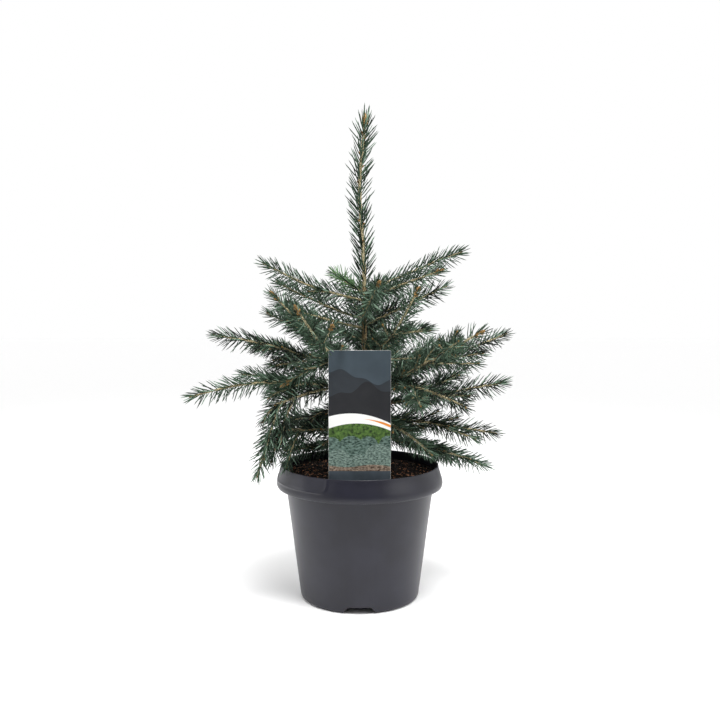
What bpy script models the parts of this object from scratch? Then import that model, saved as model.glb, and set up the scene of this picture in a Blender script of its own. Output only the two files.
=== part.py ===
"""A young blue spruce in a nursery pot, with its care card pushed into the potting mix.

Metres, +Z up. The origin is on the ground, on the pot's axis. The front of the pot faces -Y.
A limb is one rule: it leaves the trunk at a height above the soil, in a heading (0 is +X and
90 is +Y), and its pitch changes evenly along its length. Side shoots branch off it by turning
and lifting, and needles stand round every shoot in a spiral.
"""

from collections import namedtuple
from math import cos, pi, radians, sin, tan
from random import Random

import bmesh
import bpy
import numpy as np
from mathutils import Matrix, Vector

OBJECT_NAME = "potted_blue_spruce"
GAP = 0.0003  # clearance between pieces that touch

# Pot: a moulded nursery pot of the 23 cm size
POT_HEIGHT = 0.185
POT_WALL = 0.0018
POT_SEGMENTS = 48
RIM_RADIUS = 0.109
BAND_RADIUS = 0.115
BAND_WIDEST = 0.0245  # below the rim
BAND_HEIGHT = 0.030
BAND_SHOULDER = 0.015  # below the rim, where the band is nearly at its widest
BAND_LIP = 0.0025  # how far the band's lower edge is rounded in
BAND_STEP = 0.0012  # height of the step from the band in to the body
RIM_ROUND = 0.0006
BODY_TOP_RADIUS = 0.1016
BODY_BASE_RADIUS = 0.0827
BASE_CORNER = 0.0055
FOOT_INNER_RADIUS = 0.0690
FOOT_DRAFT = 0.003
FLOOR_HEIGHT = 0.0105
FLOOR_THICKNESS = 0.0020
NOTCH_TOP_WIDTH = 0.031
NOTCH_BASE_WIDTH = 0.043
NOTCH_HEIGHT = 0.0092
NOTCH_ROUND = 0.0025
NOTCH_DEPTH = 0.05  # along the pot's radius
NOTCH_HEADINGS = (-90, 30, 150)
DRAIN_RADIUS = 0.0050
DRAIN_CIRCLE = 0.0460
DRAIN_COUNT = 6

# Potting mix
SOIL_LEVEL = 0.173

# Care card on a stake
CARD_WIDTH = 0.080
CARD_TOP = 0.349
CARD_BOTTOM = SOIL_LEVEL + 0.002
CARD_CORNER = 0.002
CARD_THICKNESS = 0.0008
CARD_DISTANCE = 0.088  # in front of the pot's axis
STAKE_WIDTH = 0.024
STAKE_TIP_WIDTH = 0.006
STAKE_BOTTOM = 0.114
STAKE_POINT = 0.020

# Trunk: height above the soil, lean along +X, radius
Station = namedtuple("Station", "height lean radius")
TRUNK = (
    Station(0.000, 0.004, 0.0068),
    Station(0.006, 0.004, 0.0054),
    Station(0.020, 0.004, 0.0046),
    Station(0.070, 0.005, 0.0041),
    Station(0.132, 0.006, 0.0036),
    Station(0.205, 0.0065, 0.0032),
    Station(0.250, 0.0068, 0.0027),
    Station(0.285, 0.0058, 0.0023),
    Station(0.340, 0.0027, 0.0021),
    Station(0.370, 0.0003, 0.0020),
    Station(0.400, 0.0001, 0.0019),
    Station(0.430, 0.0022, 0.0018),
    Station(0.455, 0.0049, 0.0017),
    Station(0.479, 0.0071, 0.0016),
    Station(0.483, 0.0072, 0.0026),
    Station(0.490, 0.0075, 0.0024),
    Station(0.496, 0.0076, 0.0008),
)
LEADER_FOOT = 0.258  # where the needles of the leader begin, above the soil
LEADER_TOP = 0.478
LEADER_SLEEVE = 0.0017  # from the trunk to the outside of the sleeve that carries the needles
LEADER_ROOT = 0.0026  # from the leader's axis to the roots of its needles
LEADER_SIDES = 8
LEADER_SPACING = 0.0036
LEADER_NEEDLE = 0.0270
LEADER_LEAN = 40
LEADER_TIP_LEAN = 14

# Limbs and needles
STEM_STEP = 0.022  # between two points of a limb
BOUGH_RADIUS = 0.0028
BOUGH_TAPER = 0.72
SHOOT_RADIUS = 0.0031
SIDE_RADIUS = 0.0028
TIP_RADIUS = 0.0020
NEEDLE_LENGTH = 0.0225
NEEDLE_RADIUS = 0.0015
NEEDLE_SPACING = 0.0074
NEEDLE_LEAN = 54  # away from the shoot
NEEDLE_TIP_LEAN = 28
NEEDLE_TIP_SHORTER = 0.35  # share of its length that the last needle of a shoot lacks
NEEDLE_TURN = 137.5
NEEDLE_CLEARANCE = 0.0008
LIMB_CLEARANCE = 0.0016
WALL_CLEARANCE = 0.0020  # from the pot, the potting mix and the card
SEED = 11

# A limb: foot is its height above the soil, bare its length without needles, which is its
# bough, and curl and sway are how far pitch and heading have changed at its tip. A side
# shoot: at is its place on the limb and share its length, as parts of the limb's length.
Limb = namedtuple("Limb", "name foot heading length pitch curl bare sides")
Side = namedtuple("Side", "at turn share lift curl")
BACK_SIDES = (Side(0.46, 44, 0.46, 5, -4), Side(0.54, -41, 0.42, -4, 6))
LIMBS = (
    # the top whorl, one year old
    Limb("top_left", 0.238, 186, 0.143, 10, 21, 0, ()),
    Limb("top_back_left", 0.248, 120, 0.091, 15, 6, 0, ()),
    Limb("top_right", 0.247, 8, 0.142, 26, -6, 0, ()),
    Limb("top_front_right", 0.240, -26, 0.112, 20, -2, 0, ()),
    Limb("top_front", 0.217, -80, 0.110, 28, -10, 0, ()),
    Limb("top_back_right", 0.240, 62, 0.100, 10, 0, 0, ()),
    # single shoots between the two whorls
    Limb("high_right", 0.204, -4, 0.117, 24, 4, 0, ()),
    Limb("high_back_right", 0.167, 32, 0.102, 18, -2, 0, ()),
    Limb("high_left", 0.200, 205, 0.118, 12, 6, 0, ()),
    Limb("high_back", 0.184, 112, 0.112, 4, 0, 0, ()),
    Limb("high_right_inside", 0.154, 6, 0.104, 5, -6, 0, ()),
    Limb("high_back_left", 0.212, 163, 0.133, 17, 10, 0, ()),
    # the middle whorl
    Limb("front_left", 0.138, -119, 0.192, 13, 32, 0.050,
         (Side(0.36, -41, 0.42, -36, -20), Side(0.58, -45, 0.48, 14, 0), Side(0.58, 42, 0.34, -6, 0))),
    Limb("front_right", 0.150, -64, 0.177, 24, 22, 0.045, (Side(0.50, 40, 0.29, -28, 0),)),
    Limb("right_strong", 0.100, -31, 0.194, 31, -3, 0.062,
         (Side(0.55, 38, 0.36, -30, 0), Side(0.60, -40, 0.40, -8, 0))),
    Limb("right_long", 0.120, 20, 0.226, 16, 2, 0.055,
         (Side(0.50, 42, 0.36, 0, 0), Side(0.50, -36, 0.28, -8, 0))),
    Limb("left_long", 0.128, 184, 0.208, 26, -18, 0.050,
         (Side(0.32, 34, 0.34, -26, 4), Side(0.50, -40, 0.36, -8, 0))),
    Limb("left_arching", 0.108, 200, 0.236, 18, -33, 0.055,
         (Side(0.34, 36, 0.34, -8, -14), Side(0.36, -42, 0.40, 3, -8))),
    Limb("back_left", 0.136, 136, 0.192, 25, 2, 0.050, BACK_SIDES),
    Limb("back", 0.142, 80, 0.158, 40, -4, 0.050, BACK_SIDES),
    Limb("back_right", 0.104, 54, 0.186, 21, 0, 0.050, BACK_SIDES),
    # the lowest whorl and the weak shoots above it
    Limb("low_right_weeping", 0.124, -47, 0.180, 8, -26, 0.045, (Side(0.50, -38, 0.40, -8, 0),)),
    Limb("low_right", 0.090, -6, 0.190, 10, 2, 0.050,
         (Side(0.36, 34, 0.48, 14, 0), Side(0.50, -40, 0.32, -6, 0))),
    Limb("low_right_level", 0.078, 8, 0.186, -5, -7, 0.055, (Side(0.50, -36, 0.36, -6, 0),)),
    Limb("low_right_hanging", 0.056, 17, 0.190, -12, -11, 0.050,
         (Side(0.50, 38, 0.40, 0, -14), Side(0.45, -36, 0.36, 4, 0))),
    Limb("low_front_right", 0.085, -50, 0.136, -8, -18, 0.040, ()),
    Limb("low_left_under", 0.050, 203, 0.124, 16, -20, 0.045,
         (Side(0.72, 26, 0.44, -56, -14), Side(0.52, -34, 0.40, -10, -10))),
    Limb("low_left_inside", 0.088, 184, 0.138, 12, -94, 0.040, ()),
    Limb("low_left_level", 0.036, 163, 0.122, -2, -4, 0.040, (Side(0.45, 40, 0.42, 0, 0),)),
    Limb("low_front_left", 0.068, 236, 0.090, -2, -16, 0, ()),
    Limb("low_left_hanging", 0.124, 223, 0.150, 1, -14, 0,
         (Side(0.96, -42, 0.66, -56, -8), Side(0.80, -20, 0.58, -52, -12))),
    Limb("low_back_left", 0.068, 130, 0.176, 2, -16, 0.050, BACK_SIDES),
    Limb("low_back", 0.052, 70, 0.150, 2, -14, 0.050, BACK_SIDES),
)

# Everything that needles have to stay clear of: ends, radius and owner of each straight piece
Obstacle = namedtuple("Obstacle", "start end radius owner")
obstacles = []


def make_material(name, colour, roughness):
    material = bpy.data.materials.new(name)
    material.use_nodes = True
    shader = material.node_tree.nodes["Principled BSDF"]
    shader.inputs["Base Color"].default_value = (*colour, 1.0)
    shader.inputs["Roughness"].default_value = roughness
    shader.inputs["Metallic"].default_value = 0.0
    return material


def add_object(name, data, collection, material=None):
    piece = bpy.data.objects.new(name, data)
    collection.objects.link(piece)
    if material:
        data.materials.append(material)
    return piece


def baked_mesh(piece):
    """The evaluated mesh of an object in world space, with the caps of a curve welded."""
    bpy.context.view_layer.update()
    graph = bpy.context.evaluated_depsgraph_get()
    mesh = bpy.data.meshes.new_from_object(piece.evaluated_get(graph))
    mesh.transform(piece.matrix_world)
    shape = bmesh.new()
    shape.from_mesh(mesh)
    bmesh.ops.remove_doubles(shape, verts=shape.verts, dist=1e-7)
    shape.to_mesh(mesh)
    shape.free()
    return mesh


def hide_tool(piece):
    piece.hide_render = True
    piece.display_type = "WIRE"


def cut(piece, cutter):
    """Cuts one object out of another with a live Boolean."""
    hide_tool(cutter)
    boolean = piece.modifiers.new("cut_" + cutter.name, "BOOLEAN")
    boolean.operation = "DIFFERENCE"
    boolean.object = cutter


def arc(centre_radius, centre_height, radius, start, end, steps):
    """Points of a round corner in a profile, from one angle to another in degrees."""
    angles = [radians(start + (end - start) * i / steps) for i in range(steps + 1)]
    return [(centre_radius + radius * cos(a), centre_height + radius * sin(a)) for a in angles]


def turn_profile(name, profile, collection, material):
    """Turns a profile of (radius, height) round Z. Its outer side runs from top to bottom."""
    mesh = bpy.data.meshes.new(name)
    points = [(radius, 0.0, height) for radius, height in profile]
    mesh.from_pydata(points, [(i, i + 1) for i in range(len(points) - 1)], [])
    piece = add_object(name, mesh, collection, material)
    screw = piece.modifiers.new("turn", "SCREW")
    screw.steps = POT_SEGMENTS
    screw.render_steps = POT_SEGMENTS
    screw.use_merge_vertices = True
    screw.merge_threshold = 0.00001
    return piece


def pot_inner_wall():
    """The inside of the pot from the floor's edge up to the rim, as (radius, height)."""
    shoulder = POT_HEIGHT - BAND_HEIGHT
    floor_top = FLOOR_HEIGHT + FLOOR_THICKNESS
    slope = (BODY_TOP_RADIUS - BODY_BASE_RADIUS) / shoulder
    return [
        (BODY_BASE_RADIUS + slope * floor_top - POT_WALL, floor_top),
        (BODY_TOP_RADIUS - POT_WALL, shoulder),
        (BAND_RADIUS - BAND_LIP - POT_WALL, shoulder + BAND_STEP),
        (BAND_RADIUS - POT_WALL, POT_HEIGHT - BAND_WIDEST),
        (RIM_RADIUS - POT_WALL, POT_HEIGHT - RIM_ROUND),
    ]


def pot_profile():
    """The pot's section, from the axis over the floor, up inside and down outside."""
    shoulder = POT_HEIGHT - BAND_HEIGHT
    inside = pot_inner_wall()
    rim = [(RIM_RADIUS - POT_WALL + RIM_ROUND, POT_HEIGHT), (RIM_RADIUS - RIM_ROUND, POT_HEIGHT)]
    band = [(RIM_RADIUS, POT_HEIGHT - RIM_ROUND), (BAND_RADIUS - 0.8 * BAND_LIP, POT_HEIGHT - BAND_SHOULDER)]
    band += [(BAND_RADIUS, POT_HEIGHT - BAND_WIDEST), (BAND_RADIUS - BAND_LIP / 4, shoulder + BAND_LIP)]
    band += [(BAND_RADIUS - BAND_LIP, shoulder), (BODY_TOP_RADIUS, shoulder - BAND_STEP)]
    corner = arc(BODY_BASE_RADIUS - BASE_CORNER, BASE_CORNER, BASE_CORNER, -8, -90, 3)
    foot = [(FOOT_INNER_RADIUS, 0.0), (FOOT_INNER_RADIUS - FOOT_DRAFT, FLOOR_HEIGHT), (0.0, FLOOR_HEIGHT)]
    return [(0.0, inside[0][1])] + inside + rim + band + corner + foot


def notch_outline():
    """The outline of a foot notch: a flat top with rounded corners, and sides that flare."""
    top = NOTCH_TOP_WIDTH / 2 - NOTCH_ROUND
    base = NOTCH_BASE_WIDTH / 2
    half = arc(top, NOTCH_HEIGHT - NOTCH_ROUND, NOTCH_ROUND, 90, 20, 3)
    half += [(base, NOTCH_ROUND / 2), (base + NOTCH_ROUND, 0.0), (base + NOTCH_ROUND, -NOTCH_ROUND)]
    return half + [(-x, z) for x, z in reversed(half)]


def flat_outline(name, outline, thickness, collection, material=None):
    """A flat piece that stands in the XZ plane, from its outline of (x, z) points."""
    curve = bpy.data.curves.new(name, "CURVE")
    curve.dimensions = "2D"
    curve.fill_mode = "BOTH"
    curve.extrude = thickness / 2
    spline = curve.splines.new("POLY")
    spline.points.add(len(outline) - 1)
    for point, (x, z) in zip(spline.points, outline):
        point.co = (x, z, 0.0, 1.0)
    spline.use_cyclic_u = True
    piece = add_object(name, curve, collection, material)
    piece.rotation_euler = (pi / 2, 0.0, 0.0)
    return piece


def solid_from(piece, collection):
    """Replaces a curve object with its mesh, so that Booleans can use it."""
    mesh = baked_mesh(piece)
    name = piece.name
    bpy.data.objects.remove(piece)
    return add_object(name, mesh, collection)


def make_pot(parts, cutters):
    plastic = make_material("anthracite_plastic", (0.066, 0.066, 0.078), 0.48)
    pot = turn_profile("pot", pot_profile(), parts, plastic)
    for number, heading in enumerate(NOTCH_HEADINGS):
        outline = flat_outline(f"notch_{number}", notch_outline(), NOTCH_DEPTH, cutters)
        outward = Matrix.Translation((0, -FOOT_INNER_RADIUS - NOTCH_DEPTH / 3, 0))
        turned = Matrix.Rotation(radians(heading + 90), 4, "Z")
        outline.matrix_world = turned @ outward @ outline.matrix_basis
        cut(pot, solid_from(outline, cutters))
    for number in range(DRAIN_COUNT):
        angle = 2 * pi * (number + 0.5) / DRAIN_COUNT
        shape = bmesh.new()
        place = Matrix.Translation((DRAIN_CIRCLE * cos(angle), DRAIN_CIRCLE * sin(angle), FLOOR_HEIGHT))
        bmesh.ops.create_cone(shape, cap_ends=True, segments=12, radius1=DRAIN_RADIUS,
                              radius2=DRAIN_RADIUS, depth=4 * FLOOR_THICKNESS, matrix=place)
        mesh = bpy.data.meshes.new(f"drain_{number}")
        shape.to_mesh(mesh)
        shape.free()
        cut(pot, add_object(f"drain_{number}", mesh, cutters))
    return pot


def soil_profile():
    """The fill's section, just inside the pot's inner wall up to the soil level."""
    wall = [(radius - 1.4 * GAP, height) for radius, height in pot_inner_wall()]
    bottom = FLOOR_HEIGHT + FLOOR_THICKNESS + GAP
    floor_edge, body_top, band_foot, widest, rim = wall
    share = (SOIL_LEVEL - widest[1]) / (rim[1] - widest[1])
    edge = (widest[0] + (rim[0] - widest[0]) * share, SOIL_LEVEL)
    step = [(body_top[0], band_foot[1]), body_top]
    return [(0.0, SOIL_LEVEL), edge, widest, band_foot, *step, (floor_edge[0], bottom), (0.0, bottom)]


def make_soil(parts, cutters):
    mix = make_material("potting_mix", (0.030, 0.014, 0.008), 0.95)
    soil = turn_profile("potting_mix", soil_profile(), parts, mix)
    slot = bmesh.new()
    bmesh.ops.create_cube(slot, size=1.0)
    height = CARD_BOTTOM + STAKE_WIDTH / 2 - STAKE_BOTTOM
    size = (STAKE_WIDTH + 2 * GAP, CARD_THICKNESS + 2 * GAP, height)
    bmesh.ops.scale(slot, vec=size, verts=slot.verts)
    middle = STAKE_BOTTOM - GAP + height / 2
    bmesh.ops.translate(slot, vec=(0, -CARD_DISTANCE, middle), verts=slot.verts)
    mesh = bpy.data.meshes.new("card_slot")
    slot.to_mesh(mesh)
    slot.free()
    cut(soil, add_object("card_slot", mesh, cutters))
    return soil


def make_card(parts):
    card = make_material("printed_card", (0.20, 0.26, 0.29), 0.35)
    half = CARD_WIDTH / 2
    stake = STAKE_WIDTH / 2
    outline = arc(half - CARD_CORNER, CARD_TOP - CARD_CORNER, CARD_CORNER, 90, 0, 3)
    outline += arc(half - CARD_CORNER, CARD_BOTTOM + CARD_CORNER, CARD_CORNER, 0, -90, 3)
    outline += [(stake, CARD_BOTTOM), (stake, STAKE_BOTTOM + STAKE_POINT)]
    outline += [(STAKE_TIP_WIDTH / 2, STAKE_BOTTOM)]
    outline += [(-x, z) for x, z in reversed(outline)]
    piece = flat_outline("care_card", outline, CARD_THICKNESS, parts, card)
    piece.location = (0, -CARD_DISTANCE, 0)
    return piece


def tube(name, points, radii, collection, material=None, sides=4):
    """A tapering limb with flat ends, made a mesh."""
    curve = bpy.data.curves.new(name, "CURVE")
    curve.dimensions = "3D"
    curve.bevel_depth = 1.0
    curve.bevel_resolution = (sides - 4) // 2
    curve.use_fill_caps = True
    spline = curve.splines.new("POLY")
    spline.points.add(len(points) - 1)
    for point, place, radius in zip(spline.points, points, radii):
        point.co = (*place, 1.0)
        point.radius = radius
    piece = solid_from(add_object(name, curve, collection), collection)
    if material:
        piece.data.materials.append(material)
    return piece


def trunk_at(height):
    """Centre and radius of the trunk at a height above the soil."""
    heights = [station.height for station in TRUNK]
    lean = np.interp(height, heights, [station.lean for station in TRUNK])
    radius = np.interp(height, heights, [station.radius for station in TRUNK])
    return Vector((lean, 0.0, SOIL_LEVEL + height)), float(radius)


def direction(heading, pitch):
    flat = cos(radians(pitch))
    return Vector((flat * cos(radians(heading)), flat * sin(radians(heading)), sin(radians(pitch))))


def limb_path(start, heading, pitch, curl, length):
    """Points along a limb whose pitch changes evenly from foot to tip."""
    count = max(3, round(length / STEM_STEP))
    points = [start]
    for number in range(count):
        step = direction(heading, pitch + curl * (number + 0.5) / count)
        points.append(points[-1] + step * (length / count))
    return points


def split_path(points, length):
    """The first part of a path, of a given length, and the rest."""
    gone = 0.0
    for number in range(len(points) - 1):
        step = (points[number + 1] - points[number]).length
        if gone + step >= length:
            break
        gone += step
    middle = points[number].lerp(points[number + 1], (length - gone) / step)
    first = points[: number + 1] + [middle]
    rest = [middle] + points[number + 1 :]
    return first, rest


def taper(points, start, end):
    return [start + (end - start) * i / (len(points) - 1) for i in range(len(points))]


def note_obstacles(points, radii, owner):
    for number in range(len(points) - 1):
        radius = max(radii[number], radii[number + 1])
        obstacles.append(Obstacle(points[number], points[number + 1], radius, owner))


def make_trunk(parts):
    bark = make_material("spruce_bark", (0.30, 0.20, 0.12), 0.85)
    points = []
    for station in TRUNK:
        points.append(Vector((station.lean, 0.0, SOIL_LEVEL + GAP + station.height)))
    radii = [station.radius for station in TRUNK]
    note_obstacles(points, radii, "trunk")
    return tube("trunk", points, radii, parts, bark, sides=8)


def limb_foot(limb):
    """Where a limb starts: its flat end just clears the round of the trunk."""
    centre, trunk_radius = trunk_at(limb.foot)
    radius = BOUGH_RADIUS if limb.bare else SHOOT_RADIUS
    tilt = radius * abs(sin(radians(limb.pitch)))
    clear = trunk_radius + 2 * GAP + tilt
    return centre + direction(limb.heading, 0) * clear + Vector((0, 0, clear * tan(radians(limb.pitch))))


Shoot = namedtuple("Shoot", "points radii heading")


def limb_shoots(limb):
    """The bare bough's path, or None, and the shoots of the limb's mass of needles."""
    path = limb_path(limb_foot(limb), limb.heading, limb.pitch, limb.curl, limb.length)
    bough = None
    if limb.bare:
        bough, path = split_path(path, limb.bare)
        path = split_path(path, GAP)[1]
    shoots = [Shoot(path, taper(path, SHOOT_RADIUS, TIP_RADIUS), limb.heading)]
    whole = limb_path(limb_foot(limb), limb.heading, limb.pitch, limb.curl, limb.length)
    for side in limb.sides:
        node = split_path(whole, side.at * limb.length)[1][0]
        heading = limb.heading + side.turn
        pitch = limb.pitch + limb.curl * side.at + side.lift
        twig = limb_path(node, heading, pitch, side.curl, side.share * limb.length)
        shoots.append(Shoot(twig, taper(twig, SIDE_RADIUS, TIP_RADIUS), heading))
    return bough, shoots


def gap_between(start, end, other_starts, other_ends):
    """Distances from one straight piece to many others."""
    u = end - start
    v = other_ends - other_starts
    w = start - other_starts
    a = u @ u
    b = v @ u
    c = np.einsum("ij,ij->i", v, v)
    d = w @ u
    e = np.einsum("ij,ij->i", v, w)
    denominator = a * c - b * b
    s = np.clip(np.where(denominator > 1e-16, (b * e - c * d) / np.maximum(denominator, 1e-16), 0.0), 0, 1)
    t = np.clip((b * s + e) / np.maximum(c, 1e-16), 0, 1)
    s = np.clip((b * t - d) / a, 0, 1)
    near = w + s[:, None] * u - t[:, None] * v
    return np.linalg.norm(near, axis=1)


def hits_pot_or_card(point):
    """Whether a point is in or too near the pot, the potting mix or the card."""
    radius = (point.x**2 + point.y**2) ** 0.5
    clear = WALL_CLEARANCE
    in_mouth = radius < RIM_RADIUS - POT_WALL - clear and point.z > SOIL_LEVEL + clear
    near_pot = radius < BAND_RADIUS + clear and point.z < POT_HEIGHT + clear
    beside_card = abs(point.x) > CARD_WIDTH / 2 + clear or point.z > CARD_TOP + clear
    near_card = abs(point.y + CARD_DISTANCE) < CARD_THICKNESS / 2 + clear and not beside_card
    return near_card or (near_pot and not in_mouth)


def is_clear(start, end, radius, owner):
    """Whether a needle keeps clear of every limb and needle of another owner."""
    for number in range(6):
        if hits_pot_or_card(start.lerp(end, number / 5)):
            return False
    others = [item for item in obstacles if item.owner != owner]
    starts = np.array([item.start for item in others])
    ends = np.array([item.end for item in others])
    limbs = np.array([item.radius for item in others])
    margins = np.where(limbs > NEEDLE_RADIUS, LIMB_CLEARANCE, NEEDLE_CLEARANCE)
    distances = gap_between(np.array(start), np.array(end), starts, ends)
    return bool((distances > limbs + radius + margins).all())


def needle_places(points, spacing, turn_start, wide=NEEDLE_LEAN, tip=NEEDLE_TIP_LEAN):
    """Foot, direction and fullness of each needle of a shoot, in a spiral that closes at its tip."""
    length = sum((points[i + 1] - points[i]).length for i in range(len(points) - 1))
    count = max(3, int(length / spacing))
    for number in range(count):
        at = (number + 0.6) / count
        first, rest = split_path(points, at * length)
        along = (rest[1] - first[-2]).normalized()
        across = along.orthogonal().normalized()
        around = Matrix.Rotation(radians(turn_start + NEEDLE_TURN * number), 3, along) @ across
        closing = max(0.0, (at - 0.8) / 0.2) if length * (1 - at) < 0.03 else 0.0
        lean = radians(wide + (tip - wide) * closing)
        full = 1 - NEEDLE_TIP_SHORTER * closing
        yield first[-1], along * cos(lean) + around * sin(lean), full


def add_needle(foot, way, length, owner, collection):
    """One needle as a three-sided spike, its root sunk to the middle of the shoot."""
    shape = bmesh.new()
    turn = way.to_track_quat("Z", "Y").to_matrix().to_4x4()
    place = Matrix.Translation(foot + way * (length / 2)) @ turn
    bmesh.ops.create_cone(shape, cap_ends=True, segments=3, radius1=NEEDLE_RADIUS, radius2=0.0,
                          depth=length, matrix=place)
    mesh = bpy.data.meshes.new("needle")
    shape.to_mesh(mesh)
    shape.free()
    obstacles.append(Obstacle(foot, foot + way * length, NEEDLE_RADIUS * 0.7, owner))
    return add_object("needle", mesh, collection)


def join_all(name, body, extras, parts, material):
    """Joins every object of a collection to a body, and removes them afterwards."""
    boolean = body.modifiers.new("join", "BOOLEAN")
    boolean.operation = "UNION"
    boolean.operand_type = "COLLECTION"
    boolean.collection = extras
    boolean.solver = "EXACT"
    mesh = baked_mesh(body)
    for piece in [body, *extras.objects]:
        bpy.data.objects.remove(piece)
    bpy.data.collections.remove(extras)
    mesh.materials.clear()
    return add_object(name, mesh, parts, material)


def make_mass(limb, shoots, parts, material, chance):
    """The shoots of a limb and their needles, fused into one solid."""
    name = "needles_" + limb.name
    extras = bpy.data.collections.new("extras_" + limb.name)
    bpy.context.scene.collection.children.link(extras)
    tubes = [tube("shoot", shoot.points, shoot.radii, extras) for shoot in shoots]
    extras.objects.unlink(tubes[0])
    bpy.context.scene.collection.objects.link(tubes[0])
    for shoot in shoots:
        for foot, way, full in needle_places(shoot.points, NEEDLE_SPACING, chance.uniform(0, 360)):
            length = NEEDLE_LENGTH * full * chance.uniform(0.86, 1.0)
            if is_clear(foot, foot + way * length, NEEDLE_RADIUS, name):
                add_needle(foot, way, length, name, extras)
    return join_all(name, tubes[0], extras, parts, material)


def make_boughs_and_masses(parts):
    bark = make_material("twig_bark", (0.45, 0.30, 0.16), 0.8)
    green = make_material("blue_needles", (0.080, 0.135, 0.120), 0.6)
    chance = Random(SEED)
    grown = [(limb, *limb_shoots(limb)) for limb in LIMBS]
    for limb, bough, shoots in grown:
        if bough:
            radii = taper(bough, BOUGH_RADIUS, BOUGH_RADIUS * BOUGH_TAPER)
            tube("bough_" + limb.name, bough, radii, parts, bark, sides=6)
            note_obstacles(bough, radii, "bough_" + limb.name)
        for shoot in shoots:
            note_obstacles(shoot.points, shoot.radii, "needles_" + limb.name)
    for limb, _, shoots in grown:
        make_mass(limb, shoots, parts, green, chance)
    make_leader(parts, green, chance)


def leader_tube(name, grow, collection, overhang=0.0):
    """A tube round the leader of the trunk, wider than it by a given distance."""
    heights = [station.height for station in TRUNK if LEADER_FOOT < station.height < LEADER_TOP]
    stations = [trunk_at(height) for height in (LEADER_FOOT, *heights, LEADER_TOP)]
    points = [centre + Vector((0, 0, GAP)) for centre, _ in stations]
    points[0].z -= overhang
    points[-1].z += overhang
    corner = cos(pi / LEADER_SIDES)
    radii = [(radius + grow) / corner for _, radius in stations]
    return points, tube(name, points, radii, collection, sides=LEADER_SIDES)


def make_leader(parts, material, chance):
    """The needles of the leader stand on a thin sleeve, so that the trunk runs through whole."""
    name = "needles_leader"
    scene = bpy.context.scene.collection
    extras = bpy.data.collections.new("extras_leader")
    scene.children.link(extras)
    points, sleeve = leader_tube("sleeve", LEADER_SLEEVE, scene)
    turn = chance.uniform(0, 360)
    for foot, way, _ in needle_places(points, LEADER_SPACING, turn, LEADER_LEAN, LEADER_TIP_LEAN):
        root = foot + Vector((way.x, way.y, 0)).normalized() * LEADER_ROOT
        length = LEADER_NEEDLE * chance.uniform(0.86, 1.0)
        if is_clear(root, root + way * length, NEEDLE_RADIUS, "trunk"):
            add_needle(root, way, length, name, extras)
    solid = join_all(name, sleeve, extras, scene, material)
    bore = leader_tube("bore", GAP, scene, overhang=0.001)[1]
    cut(solid, bore)
    mesh = baked_mesh(solid)
    bpy.data.objects.remove(solid)
    bpy.data.objects.remove(bore)
    add_object(name, mesh, parts)


def main():
    for piece in list(bpy.data.objects):
        bpy.data.objects.remove(piece)
    parts = bpy.data.collections.new(OBJECT_NAME)
    cutters = bpy.data.collections.new("cutters")
    for collection in (parts, cutters):
        bpy.context.scene.collection.children.link(collection)
    make_pot(parts, cutters)
    make_soil(parts, cutters)
    make_card(parts)
    make_trunk(parts)
    make_boughs_and_masses(parts)


main()
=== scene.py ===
"""The looks of a young blue spruce in its nursery pot, with its care card in the potting mix."""

from collections import namedtuple
from math import cos, pi, radians, sin, sqrt, tan
from random import Random

import bmesh
import bpy
from mathutils import Matrix, Vector, noise


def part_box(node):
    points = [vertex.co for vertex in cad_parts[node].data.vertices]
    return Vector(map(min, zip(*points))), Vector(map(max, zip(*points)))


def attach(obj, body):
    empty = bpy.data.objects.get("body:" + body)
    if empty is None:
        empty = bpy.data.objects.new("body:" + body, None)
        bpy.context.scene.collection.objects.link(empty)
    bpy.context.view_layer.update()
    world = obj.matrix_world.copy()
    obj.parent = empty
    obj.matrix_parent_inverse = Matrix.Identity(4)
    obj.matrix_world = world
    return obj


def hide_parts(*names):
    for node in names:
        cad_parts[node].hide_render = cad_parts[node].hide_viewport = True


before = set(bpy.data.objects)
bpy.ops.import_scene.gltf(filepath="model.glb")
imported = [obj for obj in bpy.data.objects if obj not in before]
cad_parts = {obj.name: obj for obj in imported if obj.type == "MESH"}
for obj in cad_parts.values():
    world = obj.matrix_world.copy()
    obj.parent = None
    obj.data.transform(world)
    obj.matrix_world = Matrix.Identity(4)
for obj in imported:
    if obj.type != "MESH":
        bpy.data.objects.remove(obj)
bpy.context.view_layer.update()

# ----------------------------------------------------------------------------------------
# The pot: an injection-moulded nursery pot of dark grey polypropylene, with a fine matt
# grain from its mould. A thin band steps out from the body and flares, with a bead round
# the grip panel on each side, and three notches in the foot ring let the water out.
# ----------------------------------------------------------------------------------------

POT_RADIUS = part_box("pot")[1].x  # at the band's widest ring
POT_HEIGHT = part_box("pot")[1].z
POT_WALL = 0.0018
RIM_RADIUS = POT_RADIUS - 0.006
RIM_ROUND = 0.0008
RIM_HANDLE = (0.0012, -0.008)  # from the rim to the handle of the band's curve, out and up
BAND_WIDEST = 0.0245  # below the rim
BAND_HEIGHT = 0.030
BAND_LIP = 0.0025  # how far the band's lower edge is rounded in
BAND_STEP = 0.0012
BAND_RISE = 0.0065  # handles of the band's curve, above and below its widest ring
BAND_INNER_RISE = 0.008
BAND_FALL = 0.0032
BAND_LIP_ROUND = 0.0017
BODY_TOP_RADIUS = 0.1016
BODY_BASE_RADIUS = 0.0827
BODY_FILLET = 0.0014
BODY_SIDE = ((BODY_TOP_RADIUS - 0.0003, POT_HEIGHT - BAND_HEIGHT - BAND_STEP - 0.004),
             (BODY_BASE_RADIUS + 0.0009, 0.0128))
BASE_CORNER = 0.0055
FOOT_INNER_RADIUS = 0.0690
FOOT_ROUND = 0.0012
FOOT_DRAFT = 0.003
FLOOR_HEIGHT = 0.0105
FLOOR_THICKNESS = 0.0020
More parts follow.
